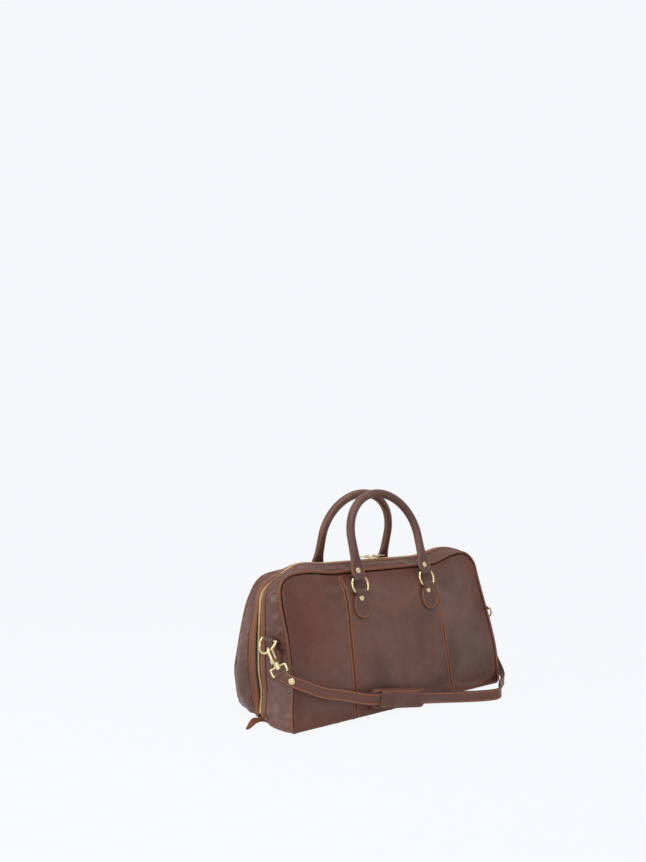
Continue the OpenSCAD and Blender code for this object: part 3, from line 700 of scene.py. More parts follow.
def stitch_shape():
    """One stitch: rings along its length that rise from the leather and dive back into it."""
    ring = 6
    stations = [(-0.78, 0.75, -0.2), (-0.35, 1.0, 0.45), (0.35, 1.0, 0.45), (0.78, 0.75, -0.2)]
    points = [(-1.0, 0.0, -0.9)]
    for share, fat, rise in stations:
        for k in range(ring):
            a = 2 * math.pi * k / ring
            points.append((share, fat * math.cos(a), fat * math.sin(a) + rise))
    points.append((1.0, 0.0, -0.9))
    faces = [(0, 1 + (k + 1) % ring, 1 + k) for k in range(ring)]
    faces += [tuple(1 + k for k in face) for face in ring_faces(len(stations), ring)]
    last = len(points) - 1
    faces += [(last, last - ring + k, last - ring + (k + 1) % ring) for k in range(ring)]
    return np.array(points), faces


STITCH_SLANT = 0.16
ROW_INSET = 1.6


def stitch_rows(name, rows, pitch=STITCH_PITCH):
    """Stitches along lines; each line is its points and the leather's outward normals there."""
    shape, shape_faces = stitch_shape()
    all_points, all_faces = [], []
    for points, normals in rows:
        run = along(points)
        length = run[-1] - 2 * ROW_INSET
        count = max(1, int(length / pitch))
        places = ROW_INSET + (np.arange(count) + 0.5) * length / count
        middle = resample(points, run, places)
        out = unit(resample(normals, run, places))
        ahead = unit(resample(points, run, places + 0.5) - resample(points, run, places - 0.5))
        side = unit(np.cross(out, ahead))
        ahead = unit(ahead + STITCH_SLANT * side)
        side = unit(np.cross(out, ahead))
        for c, t, s, n in zip(middle, ahead, side, out):
            base = len(all_points) * len(shape)
            body = shape * np.array([STITCH_SHARE * pitch, THREAD_R, THREAD_R])
            all_points.append(c + body[:, :1] * t + body[:, 1:2] * s + body[:, 2:] * n)
            all_faces += [tuple(base + k for k in face) for face in shape_faces]
    return make_mesh(name, np.concatenate(all_points), all_faces, THREAD)


# ---- one half of the bag
SEAM_STITCH = 3.4
TUCK = 3.1
TUCK_REACH = 3.0


def tuck(distance):
    """How far leather dips at a distance from an edge that is sewn to the piping."""
    return -TUCK * np.maximum(0, 1 - distance / TUCK_REACH) ** 2.2


def groove(distance):
    """The dip that a row of stitches pulls into leather."""
    return -0.5 * bell(distance, 0, 1.0)


SHEET_STEP = 4.5
EDGE_LINES = (0, 0.7, 1.5, 2.6, 4.2, 7)
SEWN_LINES = (0.0, 0.35, 0.9, 2.2, 2.9, 3.4, 3.9, 4.6, 6, 8.5)


def fine_lines(length, near, far):
    """Distances across a strip: close lines near its ends, even ones between."""
    count = max(2, int((length - near[-1] - far[-1]) / SHEET_STEP))
    middle = np.linspace(near[-1], length - far[-1], count + 1)[1:-1]
    return np.concatenate([near, middle, length - np.array(far[::-1])])


class Half:
    """The front or rear half: its settled surfaces, and how its pieces are made and carried."""

    def __init__(self, name):
        self.name = name
        self.rear = name == "rear"
        self.panel = settled_panel(self.rear)
        self.gusset = settled_gusset(self.rear)

    def turned(self, points):
        """Points of the front half, moved to this half."""
        return points * np.array([1, -1, 1]) if self.rear else points

    def carry(self, piece, slot, *replaced):
        """Puts a front piece on the root body, bakes a rear piece's place into its points, and hides the CAD
        nodes that it stands for.
        """
        if self.rear:
            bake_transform(piece)
        else:
            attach(piece, "root")
        if replaced:
            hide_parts(*[f"{self.name}_{node}" for node in replaced])
        return piece

    def shell(self, label, outer, inner, material):
        """A closed shell between two grids of points."""
        name = f"{self.name}_{label}"
        return make_shell(name, self.turned(outer), self.turned(inner), material, self.rear)

    def sew(self, label, lines, slot, pitch=STITCH_PITCH):
        """Stitches along lines of this half."""
        turned = [(self.turned(points), self.turned(normals)) for points, normals in lines]
        return self.carry(stitch_rows(f"{self.name}_{label}", turned, pitch), slot)

    def strip(self, f, dist, out):
        """Point of the gusset at a distance from the zip line."""
        return self.gusset.at(f, dist / gusset_span(f), out)


def panel_width(b):
    left, right = panel_edges(b)
    return right - left


def make_panel(half, label, low, high, low_sewn, high_sewn):
    """A leather panel between two edges, given as functions of the height share."""
    height = WALL_H - 2 * PANEL_INSET
    b_lines = fine_lines(height, EDGE_LINES, EDGE_LINES) / height
    middle_width = float((high(0.5) - low(0.5)) * panel_width(0.5))
    near, far = (SEWN_LINES if is_sewn else EDGE_LINES for is_sewn in (low_sewn, high_sewn))
    lines = fine_lines(middle_width, near, far)
    b = np.broadcast_to(b_lines[:, None], (len(b_lines), len(lines)))
    width = panel_width(b)
    span = (high(b) - low(b)) * width
    stretch = np.clip((lines - 10) / (middle_width - 20), 0, 1)
    from_low = mix(lines, span - (middle_width - lines), stretch)
    edges = ((from_low, low_sewn), (span - from_low, high_sewn))
    a = low(b) + from_low / width
    rim = np.minimum(b * height, (1 - b) * height)
    out = tuck(rim)
    for distance, is_sewn in edges:
        if is_sewn:
            rounding = -1.1 * np.maximum(0, 1 - distance / 1.3) ** 2
            out = np.minimum(out, 0) + groove(distance - SEAM_STITCH) + rounding
        else:
            out = np.minimum(out, tuck(distance))
    out = out + 0.5 * sum(bell(distance, 1.8, 1.4) for distance, is_sewn in edges if is_sewn) * (rim > 5)
    piece = half.shell(label, half.panel.at(a, b, out), half.panel.at(a, b, out - LEATHER_T), BODY_LEATHER)
    warm = 0.75 * bell(rim, 0, 16)
    for distance, is_sewn in edges:
        warm = np.maximum(warm, 0.85 * bell(distance, 0, 5) if is_sewn else 0.8 * bell(distance, 0, 24))
    if not low_sewn:
        warm = np.maximum(warm, 0.9 * bell(from_low, 42, 40) * bell(b * height, 160, 75))
    attribute(piece, "burnish", np.tile(warm.ravel(), 2))
    # seam mark: dark joints along the sewn seams, and painted groove shade along the edges that tuck under
    # the piping
    dark = bell(rim, 0, 1.5)
    for distance, is_sewn in edges:
        dark = np.maximum(dark, bell(distance, 0, 0.7 if is_sewn else 1.7))
    attribute(piece, "seam", np.tile(dark.ravel(), 2))
    return half.carry(piece, "body_leather", label)


def make_panels(half):
    def zero(b):
        return 0 * b

    def one(b):
        return 0 * b + 1

    def left(b):
        return seam_share(-1, b)

    def right(b):
        return seam_share(1, b)

    make_panel(half, "panel_left", zero, left, False, True)
    make_panel(half, "panel_center", left, right, True, True)
    make_panel(half, "panel_right", right, one, True, False)
    b = np.linspace(0.012, 0.985, 160)
    lines = []
    for side in (-1, 1):
        for offset in (-SEAM_STITCH, SEAM_STITCH):
            a = seam_share(side, b) + offset / panel_width(b)
            lines.append((half.panel.at(a, b, 0.05), half.panel.normal(a, b)))
    half.sew("seam_stitches", lines, "body_leather")


GUSSET_REACH = 0.15


def make_gusset(half):
    """The gusset's leather, from beside the welt to the piping."""
    f = np.linspace(0.001, 0.999, 330)[:, None]
    span = gusset_span(f)
    width = span - WELT_END - 0.8 - GUSSET_REACH * PIPE_R
    shares = np.array([0, 0.02, 0.05, 0.1, 0.18, 0.3, 0.42, 0.54, 0.66, 0.76, 0.85, 0.92, 0.965, 1.0])
    inside = shares * width
    to_pipe = width - inside
    out = tuck(to_pipe) - 1.5 * np.maximum(0, 1 - inside / 1.8) ** 2
    dist = WELT_END + 0.8 + inside
    f = np.broadcast_to(f, dist.shape)
    piece = half.shell("gusset", half.strip(f, dist, out), half.strip(f, dist, out - LEATHER_T), BODY_LEATHER)
    warm = np.maximum(0.6 * bell(to_pipe, 0, 10), 0.45 * bell(inside, 0, 6))
    attribute(piece, "burnish", np.tile(warm.ravel(), 2))
    # seam mark: painted shade in the grooves along the piping and the welt, over the dark joints there
    dark = np.maximum(bell(to_pipe, 0, 1.6), bell(inside, 0, 1.3))
    attribute(piece, "seam", np.tile(dark.ravel(), 2))
    half.gusset_piece = half.carry(piece, "body_leather", "gusset")


WELT_STITCH = 9.4


def make_welt(half):
    """The stitched strip beside the zip."""
    f = np.linspace(0.001, 0.999, 420)[:, None]
    inside = np.array([0, 0.4, 1.0, 2.4, 3.6, 4.4, 5.2, 7, 9.4, 11.6, 12.6, 13.1, WELT_W])
    out = 0.7 - 0.7 * np.maximum(0, 1 - np.minimum(inside, WELT_W - inside) / 1.1) ** 2
    out = out + groove(ZIP_CLEAR + inside - WELT_STITCH) + 0.25 * np.sin(np.pi * inside / WELT_W)
    dist = np.broadcast_to(ZIP_CLEAR + inside, (len(f), len(inside)))
    f = np.broadcast_to(f, dist.shape)
    piece = half.shell("zip_welt", half.strip(f, dist, out), half.strip(f, dist, -1.2), TRIM_LEATHER)
    attribute(piece, "burnish", np.full(2 * f.size, 0.4))
    half.carry(piece, "trim_leather", "zip_welt")
    run = np.linspace(0.002, 0.998, 600)
    share = WELT_STITCH / gusset_span(run)
    line = half.gusset.at(run, share, 0.5), half.gusset.normal(run, share)
    half.sew("welt_stitches", [line], "trim_leather")


def make_tape(half):
    """The woven tape that carries the teeth."""
    f = np.linspace(0.001, 0.999, 300)[:, None]
    dist = np.broadcast_to(np.array([1.2, 1.8, 5, 9, 14, 15]), (len(f), 6))
    f = np.broadcast_to(f, dist.shape)
    piece = half.shell("zip_tape", half.strip(f, dist, -1.9), half.strip(f, dist, -2.6), TAPE)
    half.carry(piece, "zip_tape", "zip_tape")


TOOTH_PITCH = 3.0
ZIP_START = 9.0


def tooth_shape():
    """One tooth: a chamfered bar across the zip, narrower at the end that meets the other row."""
    chamfer = 0.3
    half_l, low, high = 0.72, -1.3, 0.95
    outline = [
        (-half_l, low), (half_l, low), (half_l, high - chamfer), (half_l - chamfer, high),
        (chamfer - half_l, high), (-half_l, high - chamfer),
    ]
    points = []
    for y, thin in ((-3.4, 1.0), (-0.4, 1.0), (1.3, 0.66)):
        points += [(x * thin, y, z * (thin if z > 0 else 1)) for x, z in outline]
    n = len(outline)
    faces = [tuple(range(n - 1, -1, -1)), tuple(range(2 * n, 3 * n))]
    faces += ring_faces(3, n)
    return np.array(points), faces


def make_teeth(half):
    """One row of teeth; the two rows are half a pitch apart and mesh with each other."""
    offset = 0.75 if half.rear else 0.25
    run = np.linspace(0, 1, 2000)
    line = half.gusset.at(run, 0 * run, 0.0)
    length = along(line)
    count = int((length[-1] - 2 * ZIP_START) / TOOTH_PITCH)
    places = ZIP_START + (np.arange(count) + offset) * TOOTH_PITCH
    middle = resample(line, length, places)
    ahead = unit(resample(line, length, places + 1) - resample(line, length, places - 1))
    shape, shape_faces = tooth_shape()
    points, faces = [], []
    for c, t in zip(middle, ahead):
        out = np.array([-t[2], 0, t[0]])
        base = len(points) * len(shape)
        points.append(c + shape[:, :1] * t + shape[:, 1:2] * np.array([0, 1, 0]) + shape[:, 2:] * out)
        faces += [tuple(base + k for k in (face if not half.rear else face[::-1])) for face in shape_faces]
    piece = make_mesh(f"{half.name}_zip_teeth", half.turned(np.concatenate(points)), faces, TEETH_BRASS)
    half.carry(piece, "zip_teeth", "zip_teeth")


def tube_loop(name, line, radii, material, ring=14):
    """A round tube along a closed line of points."""
    ahead = unit(np.roll(line, -1, 0) - np.roll(line, 1, 0))
    side = unit(np.cross(ahead, np.array([0, 1.0, 0])))
    over = np.cross(side, ahead)
    angle = np.linspace(0, 2 * np.pi, ring, endpoint=False)[None, :, None]
    points = line[:, None] + radii[:, None, None] * (
        np.cos(angle) * side[:, None] + np.sin(angle) * over[:, None]
    )
    faces = [face[::-1] for face in ring_faces(len(line), ring, closed=True)]
    return make_mesh(name, points, faces, material)


FOOT_IN = 4.5


def foot_point(x, rear):
    """Point of the piping that runs along the base."""
    return slump(rows3(x, wall_y(BASE_T) + FOOT_IN, BASE_T), rear)


def corner_turn(start, end, turn):
    """A quarter turn from the upright part of the piping to the part along the base."""
    x = end[0] + (start[0] - end[0]) * np.cos(turn)
    y = mix(start[1], end[1], np.sin(turn) ** 2)
    z = start[2] + (end[2] - start[2]) * np.sin(turn)
    return rows3(x, y, z)


def make_piping(half):
    """Leather over a cord, round the whole wall, with its small corners at the base."""
    f = np.linspace(0, 1, 380)
    line = half.gusset.at(f, 0 * f + 1, 0.0)
    corner = 7.0
    line = line[line[:, 2] > BASE_T + corner]
    foot_left = foot_point(line[0][0] + corner, half.rear)
    foot_right = foot_point(line[-1][0] - corner, half.rear)
    turn = np.linspace(0, np.pi / 2, 8)[1:]
    left = corner_turn(line[0], foot_left, turn)
    right = corner_turn(line[-1], foot_right, turn)
    bottom = foot_point(np.linspace(foot_right[0], foot_left[0], 90)[1:-1], half.rear)
    loop = np.concatenate([line, right, bottom, left[::-1]])
    run = along(loop)
    loop[:, 1] += 0.15 * np.sin(run / 11) * np.sin(run / 47)
    fat = 0.88 * PIPE_R * (1 + 0.03 * np.sin(run / 7.3) * np.sin(run / 19))
    piece = tube_loop(f"{half.name}_piping", half.turned(loop), fat, TRIM_LEATHER)
    attribute(piece, "burnish", np.full(len(piece.data.vertices), 0.5))
    half.carry(piece, "trim_leather", "piping")


def make_linings(half):
    """Cloth under the leather of the panel and of the gusset."""
    b, a = np.meshgrid(np.linspace(0.03, 0.975, 44), np.linspace(0.012, 0.988, 84), indexing="ij")
    wave = 0.35 * np.sin(a * 61 + b * 13) * np.sin(b * 37 - a * 11)
    out = -(LEATHER_T + 3.2) + wave
    piece = half.shell("panel_lining", half.panel.at(a, b, out), half.panel.at(a, b, out - 0.8), LINING)
    half.carry(piece, "lining_cloth", "panel_lining")
    f = np.broadcast_to(np.linspace(0.012, 0.988, 240)[:, None], (240, 10))
    dist = mix(3.0, gusset_span(f) - PIPE_R - 4, np.linspace(0, 1, 10))
    out = -4.6 + 0.25 * np.sin(f * 190) * np.sin(dist / 5)
    piece = half.shell("gusset_lining", half.strip(f, dist, out), half.strip(f, dist, out - 0.8), LINING)
    half.carry(piece, "lining_cloth", "gusset_lining")


HALVES = [Half("front"), Half("rear")]
for each_half in HALVES:
    make_panels(each_half)
    make_gusset(each_half)
    make_welt(each_half)
    make_tape(each_half)
    make_teeth(each_half)
    make_piping(each_half)
    make_linings(each_half)


# ---- bands and patches of leather
def weld(piece):
    """Joins points that lie on each other and turns all faces outwards."""
    work = bmesh.new()
    work.from_mesh(piece.data)
    bmesh.ops.remove_doubles(work, verts=work.verts, dist=1e-6)
    bmesh.ops.recalc_face_normals(work, faces=work.faces)
    work.to_mesh(piece.data)
    work.free()
    piece.data.set_sharp_from_angle(angle=math.radians(SHARP_ANGLE))
    return piece


def band_section(half_w, half_t, rows=()):
    """Section of a band: width and thickness offsets, and 1 where a point is on a cut edge."""
    corner = 0.55 * half_t
    across = [half_w - corner, 0.5 * half_w, 0.0]
    for row in rows:
        across += [half_w - row - 0.9, half_w - row, half_w - row + 0.9]
    across = np.array(sorted(set(across), reverse=True))
    across = np.concatenate([across, -across[-2::-1]])
    face = half_t * (1 + 0.10 * (1 - (across / half_w) ** 2))
    for row in rows:
        face = face - 0.28 * bell(np.abs(across), half_w - row, 0.8)
    turn = np.array([30, 60, 90, 120, 150]) * math.pi / 180
    edge_u = half_w - corner + corner * np.sin(turn)
    edge_v = half_t * np.cos(turn) * 0.92
    u = np.concatenate([across, -edge_u, -across, edge_u])
    v = np.concatenate([face, edge_v, -face, -edge_v])
    edge = np.concatenate([0 * across, 0 * turn + 1, 0 * across, 0 * turn + 1])
    return np.stack([u, v], axis=1), edge


def sweep(name, centres, wide, out, sections, material, edge=None, closed=False):
    """A closed solid along a line: one section, or one for each point of the line."""
    sections = np.broadcast_to(sections, (len(centres),) + np.shape(sections)[-2:])
    points = (
        centres[:, None]
        + sections[..., :1] * np.asarray(wide)[:, None]
        + sections[..., 1:] * np.asarray(out)[:, None]
    )
    rows, ring = points.shape[:2]
    faces = ring_faces(rows, ring, closed)
    ends = [] if closed else [tuple(range(ring)), tuple(range((rows - 1) * ring, rows * ring))]
    piece = make_mesh(name, points, faces + ends, material)
    if edge is not None:
        cut = np.tile(np.maximum(edge, np.roll(edge, -1)) > 0.5, len(faces) // ring)
        painted = np.concatenate([cut, np.ones(len(ends))]).astype(np.int32)
        piece.data.materials.append(EDGE_PAINT)
        piece.data.polygons.foreach_set("material_index", painted)
    return weld(piece)


PATCH_STITCH = 2.8
FAR_INSET = 999.0


def patch(name, outline, spine, levels, place, material):
    """A leather patch with rounded edges. Levels are insets and heights, from the back to the front."""
    rings = []
    for inset, height in levels:
        reach = np.linalg.norm(spine - outline, axis=1)
        share = np.minimum(inset / np.maximum(reach, 1e-6), 1)[:, None]
        rings.append(place(mix(outline, spine, share), height))
    count = len(outline)
    piece = make_mesh(name, np.concatenate(rings), ring_faces(len(rings), count), material)
    warm = np.concatenate([np.full(count, 0.7 * math.exp(-((inset / 3) ** 2))) for inset, _ in levels])
    attribute(piece, "burnish", warm)
    return weld(piece)


def patch_levels(thick, crown=0.0):
    """Levels of a patch that is stitched near its edge and may be padded."""
    return [
        (FAR_INSET, 0.0), (0.5, 0.0), (0.0, 0.5), (0.0, thick - 0.8), (0.3, thick - 0.2), (0.9, thick),
        (2.0, thick), (2.5, thick - 0.3), (PATCH_STITCH, thick - 0.35), (3.1, thick - 0.3),
        (3.7, thick + 0.25 * crown), (6.5, thick + 0.8 * crown), (FAR_INSET, thick + crown),
    ]


def patch_line(outline, spine, place, height):
    """A line that follows a patch's edge inside it, with the normals there."""
    reach = np.linalg.norm(spine - outline, axis=1)
    inside = mix(outline, spine, np.minimum(PATCH_STITCH / reach, 1)[:, None])
    low = place(inside, height)
    return low, unit(place(inside, height + 0.5) - low)


def join(pieces):
    """Makes one object of several, keeping the first one's name."""
    with bpy.context.temp_override(active_object=pieces[0], selected_editable_objects=pieces):
        bpy.ops.object.join()
    return pieces[0]


# ---- handle, its tabs and its stitching, in a frame on the wall at a tab rivet
def on_wall(half, points):
    """World points from wall points: X across the bag, Y into the wall and Z up along it."""
    points = np.asarray(points, float)
    start_z = TAB_RIVET_Z
    start_y = wall_y(start_z) - panel_crown(HANDLE_X, start_z) - STAND_OFF
    y = start_y + points[..., 1] * math.cos(WALL_TILT) + points[..., 2] * math.sin(WALL_TILT)
    z = start_z - points[..., 1] * math.sin(WALL_TILT) + points[..., 2] * math.cos(WALL_TILT)
    return half.turned(rows3(points[..., 0], y, z))


def wall_direction(half, vectors):
    return on_wall(half, vectors) - on_wall(half, np.zeros(3))


def rigid(half, piece, slot, body, *replaced):
    """Ties a stiff piece of a half to a body of that half, or to the wall that carries it."""
    wall = "rear_wall" if half.rear else "root"
    tie(piece, f"{half.name}_{body}" if body else wall, slot, *[f"{half.name}_{node}" for node in replaced])


ARCH_Z = HANDLE_RISE - GRIP_R - HANDLE_X
GRIP_START = 38.0
LOOP_HALF_W = 12.3


def grip_line():
    """Points of the handle from its left foot to its right one, and the outward direction in its plane."""
    up = np.linspace(GRIP_START, ARCH_Z, 46)[:-1]
    turn = np.linspace(math.pi, 0, 72)
    legs = np.ones_like(up)
    x = np.concatenate([-HANDLE_X * legs, HANDLE_X * np.cos(turn), HANDLE_X * legs])
    z = np.concatenate([up, ARCH_Z + HANDLE_X * np.sin(turn), up[::-1]])
    out_x = np.concatenate([-legs, np.cos(turn), legs])
    out_z = np.concatenate([0 * legs, np.sin(turn), 0 * legs])
    return rows3(x, BAR_Y, z), rows3(out_x, 0, out_z)


def grip_shape(z):
    """Half width, half thickness and squareness of the handle at a height of its leg."""
    foot = [38, 42, 47, 52, 57, 62, 70, 80, 92]
    half_w = np.interp(z, foot, [12.6, 14, 14.8, 14.4, 12.8, 11, 9.6, 8.6, GRIP_R])
    half_t = np.interp(z, [38, 52, 57, 62, 70, 80, 92], [2.6, 2.6, 3.3, 4.6, 6.4, 7.4, GRIP_R])
    square = np.interp(z, [38, 52, 72], [6.0, 5.0, 2.0])
    return half_w, half_t, square


def oval(half_w, half_t, square, angle):
    """Point and normal of a section between a flat band and a circle; angle 0 is the outer side."""
    c, s = np.cos(angle), np.sin(angle)
    u = half_w * np.sign(c) * np.abs(c) ** (2 / square)
    v = half_t * np.sign(s) * np.abs(s) ** (2 / square)
    along_u = np.sign(u) * np.abs(u / half_w) ** (square - 1) / half_w
    along_v = np.sign(v) * np.abs(v / half_t) ** (square - 1) / half_t
    return u, v, along_u, along_v


def bar_loop(bar_z, start, end, turns):
    """Line of a strap round a ring bar, from its back layer to its front one, in wall Y and Z."""
    mid_r = BORE_R + FOLD_HALF
    arc = rows3(0, BAR_Y + mid_r * np.cos(turns), bar_z + mid_r * np.sin(turns))
    before = mix(np.array([0, *start]), arc[0], np.linspace(0, 1, 7)[:-1, None])
    after = mix(arc[-1], np.array([0, *end]), np.linspace(0, 1, 9)[1:, None])
    return np.concatenate([before, arc, after])


def wall_band(half, name, x, line, half_w):
    """A thin band in the wall frame that keeps its width along X."""
    ahead = unit(np.gradient(line, axis=0))
    out = unit(np.cross(ahead, np.array([1.0, 0, 0])))
    section, edge = band_section(half_w, FOLD_HALF)
    centres = on_wall(half, line + np.array([x, 0, 0]))
    wide = wall_direction(half, np.tile([1.0, 0, 0], (len(line), 1)))
    return sweep(name, centres, wide, wall_direction(half, out), section, HANDLE_LEATHER, edge)


def make_handle(half):
    centres, radial = grip_line()
    half_w, half_t, square = grip_shape(centres[:, 2])
    angle = np.linspace(0, 2 * math.pi, 40, endpoint=False)
    u, v = oval(half_w[:, None], half_t[:, None], square[:, None], angle[None])[:2]
    front = np.tile([0.0, -1.0, 0.0], (len(centres), 1))
    name = f"{half.name}_handle"
    grip = sweep(name, on_wall(half, centres), wall_direction(half, radial), wall_direction(half, front),
                 np.stack([u, v], axis=-1), HANDLE_LEATHER)
    turns = np.linspace(0, -math.pi, 18)
    line = bar_loop(HIGH_BAR, (BAR_Y + 1.6, 45), (BAR_Y - 1.6, 45), turns)
    loops = [wall_band(half, f"{name}_loop", side * HANDLE_X, line, LOOP_HALF_W) for side in (-1, 1)]
    grip = join([grip, *loops])
    rigid(half, grip, "handle_leather", "handle", "handle")
    lines = []
    for side in (1, -1):
        swing = np.interp(centres[:, 2], [GRIP_START, 54, 76], [38, 34, -32]) * math.pi / 180
        at = swing if side > 0 else math.pi - swing
        u, v, nu, nv = oval(half_w, half_t, square, at)
        points = centres + u[:, None] * radial + v[:, None] * front
        normals = unit(nu[:, None] * radial + nv[:, None] * front)
        lines.append((on_wall(half, points), wall_direction(half, normals)))
    rigid(half, stitch_rows(f"{name}_stitches", lines, 3.6), "handle_leather", "handle")


TAB_T = 3.8
TAB_END = 20.0
TAB_DROP = 36.0


def tab_outline():
    """Outline of a handle tab and the points inside it that its rings shrink to."""
    z = np.linspace(7, -16, 18)
    half_w = np.interp(z, [-16, -8, 0, 4, 7], [TAB_END, 19.4, 16.6, 13.6, 12.8])
    turn = np.linspace(math.pi, 2 * math.pi, 40)[1:-1]
    centre = TAB_END - TAB_DROP
    top = np.linspace(half_w[0], -half_w[0], 9)[1:-1]
    x = np.concatenate([-half_w, TAB_END * np.cos(turn), half_w[::-1], top])
    z = np.concatenate([z, centre + TAB_END * np.sin(turn), z[::-1], 0 * top + 7])
    outline = np.stack([x, z], axis=1)
    return outline, np.stack([0 * x, np.clip(z, centre, 0)], axis=1)


def make_tab(half, side):
    label = f"tab_{SIDES[side]}"
    outline, spine = tab_outline()

    def place(flat, height):
        bend = 1.0 * smooth(-flat[:, 1] / TAB_DROP)
        return on_wall(half, rows3(side * HANDLE_X + flat[:, 0], bend - height, flat[:, 1]))

    name = f"{half.name}_{label}"
    body = patch(name, outline, spine, patch_levels(TAB_T), place, TAB_LEATHER)
    turns = np.linspace(0, math.pi, 18)
    line = bar_loop(LOW_BAR, (-0.95, 1), (-2.75, 1), turns)
    loop = wall_band(half, f"{name}_loop", side * HANDLE_X, line, LOOP_HALF_W + 0.1)
    rigid(half, join([body, loop]), "tab_leather", "", label)
    keep = slice(2, len(outline) - 9)
    points, normals = patch_line(outline, spine, place, TAB_T - 0.3)
    stitches = stitch_rows(f"{name}_stitches", [(points[keep], normals[keep])], 3.4)
    rigid(half, stitches, "tab_leather", "")


# ---- base
def base_patch(name, shrink, levels, material, slot, wave=0.0):
    """A layer of the base, with the rounded corners that the two pipings run round."""
    x = np.linspace(-HALF_L + 3, HALF_L + 4, 60)
    front = foot_point(x, False)
    back = foot_point(x[::-1], True) * np.array([1, -1, 1])
    outline = np.concatenate([front, back])[:, :2]
    outline = softened(outline, 4)
    middle = outline.mean(axis=0)
    outline = middle + (outline - middle) * np.array(shrink)
    spine = np.stack([np.clip(outline[:, 0], -170, 170), 0 * outline[:, 0]], axis=1)

    def place(flat, height):
        swell = wave * np.sin(flat[:, 0] / 9) * np.sin(flat[:, 1] / 7)
        return rows3(flat[:, 0], flat[:, 1], height + swell)

    piece = patch(name, outline, spine, levels, place, material)
    tie(piece, "root", slot, name)


def make_base():
    """The base leather, the stiff board on it and the cloth that covers the board."""
    far = FAR_INSET
    levels = [(far, 0), (1.2, 0), (0.2, 0.6), (0, 1.5), (0, BASE_T - 0.8), (0.5, BASE_T), (far, BASE_T)]
    base_patch("base_panel", (0.985, 0.95), levels, BODY_LEATHER, "body_leather")
    low, high = (corner[2] for corner in box_mm("base_board"))
    levels = [(far, low), (0.3, low), (0, low + 0.3), (0, high - 0.3), (0.3, high), (far, high)]
    base_patch("base_board", (0.935, 0.86), levels, BOARD, "board")
    low, high = (corner[2] for corner in box_mm("base_lining"))
    levels = [(far, low), (0.2, low), (0, low + 0.3), (0.2, high), (20, high), (far, high)]
    base_patch("base_lining", (0.94, 0.87), levels, LINING, "lining_cloth", 0.15)


# ---- ends of the bag: side tabs, zip-end tabs
DRING_X = HALF_L + 12
DRING_Y = 42.0
DRING_Z = 143.0
SIDE_TAB_W = 26.0
SIDE_TAB_LOW = 100.0
SIDE_TAB_T = 3.6
SIDE_TAB_IN = 1.6


def surface_x(tree, side, y, z):
    """X of the outermost gusset surface at a place on the left (-1) or right (1) end."""
    hits = []
    for each_y, each_z in zip(y, z):
        hit = tree.ray_cast(Vector((side * 0.5, each_y * MM, each_z * MM)), Vector((-side, 0, 0)))[0]
        hits.append(hit.x / MM)
    return np.array(hits)


def make_side_tab(side, tree):
    """A strip of leather round the D-ring's bar, its two layers sewn to the gusset."""
    name = f"side_tab_{SIDES[side]}"
    bar_x = DRING_X + (RIGHT_SHIFT if side > 0 else 0)
    half_w = SIDE_TAB_W / 2
    top = DRING_Z - 3
    down = np.linspace(top, SIDE_TAB_LOW + 9, 14)
    tip = np.linspace(0, math.pi, 15)[1:-1]
    outline = np.concatenate([
        np.stack([0 * down - half_w, down], axis=1),
        np.stack([-half_w * np.cos(tip), SIDE_TAB_LOW + 9 - 8.5 * np.sin(tip) ** 0.8], axis=1),
        np.stack([0 * down + half_w, down[::-1]], axis=1),
        np.stack([np.linspace(half_w, -half_w, 7)[1:-1], np.full(5, top)], axis=1),
    ])
    spine = np.stack([0 * outline[:, 0], np.clip(outline[:, 1], SIDE_TAB_LOW + 13, top - 6)], axis=1)
    plate_x = bar_x - BORE_R - FOLD_T - SIDE_TAB_IN

    def place(flat, height):
        y, z = -DRING_Y + flat[:, 0], flat[:, 1]
        skin = np.abs(surface_x(tree, side, y, z)) + 0.3
        x = np.maximum(skin, mix(skin, plate_x, smooth((z - 118) / 16)))
        return rows3(side * (x + height), y, z)

    body = patch(name, outline, spine, patch_levels(SIDE_TAB_T), place, TAB_LEATHER)
    mid_r = BORE_R + FOLD_HALF
    turns = np.linspace(math.pi, -math.pi / 2 - 0.5, 22)
    arc = np.stack([mid_r * np.cos(turns), mid_r * np.sin(turns)], axis=1)
    inner = plate_x + 0.9 - bar_x
    back = mix(np.array([inner, -12.0]), arc[0], np.linspace(0, 1, 7)[:-1, None])
    front = mix(arc[-1], np.array([inner + SIDE_TAB_T - 1.9, -9.0]), np.linspace(0, 1, 6)[1:, None])
    flat = np.concatenate([back, arc, front])
    line = rows3(side * (bar_x + flat[:, 0]), -DRING_Y, DRING_Z + flat[:, 1])
    ahead = unit(np.gradient(line, axis=0))
    wide = np.tile([0.0, 1.0, 0.0], (len(line), 1))
    section, edge = band_section(half_w - 0.2, FOLD_HALF)
    loop = sweep(f"{name}_loop", line, wide, np.cross(ahead, wide), section, TAB_LEATHER, edge)
    piece = join([body, loop])
    tie(piece, "root", "tab_leather", name)
    points, normals = patch_line(outline, spine, place, SIDE_TAB_T - 0.3)
    keep = slice(6, len(down) * 2 + len(tip) - 6)
    stitches = stitch_rows(f"{name}_stitches", [(points[keep], normals[keep])], 3.2)
    tie(stitches, "root", "tab_leather")


END_TAB_L = 52.0


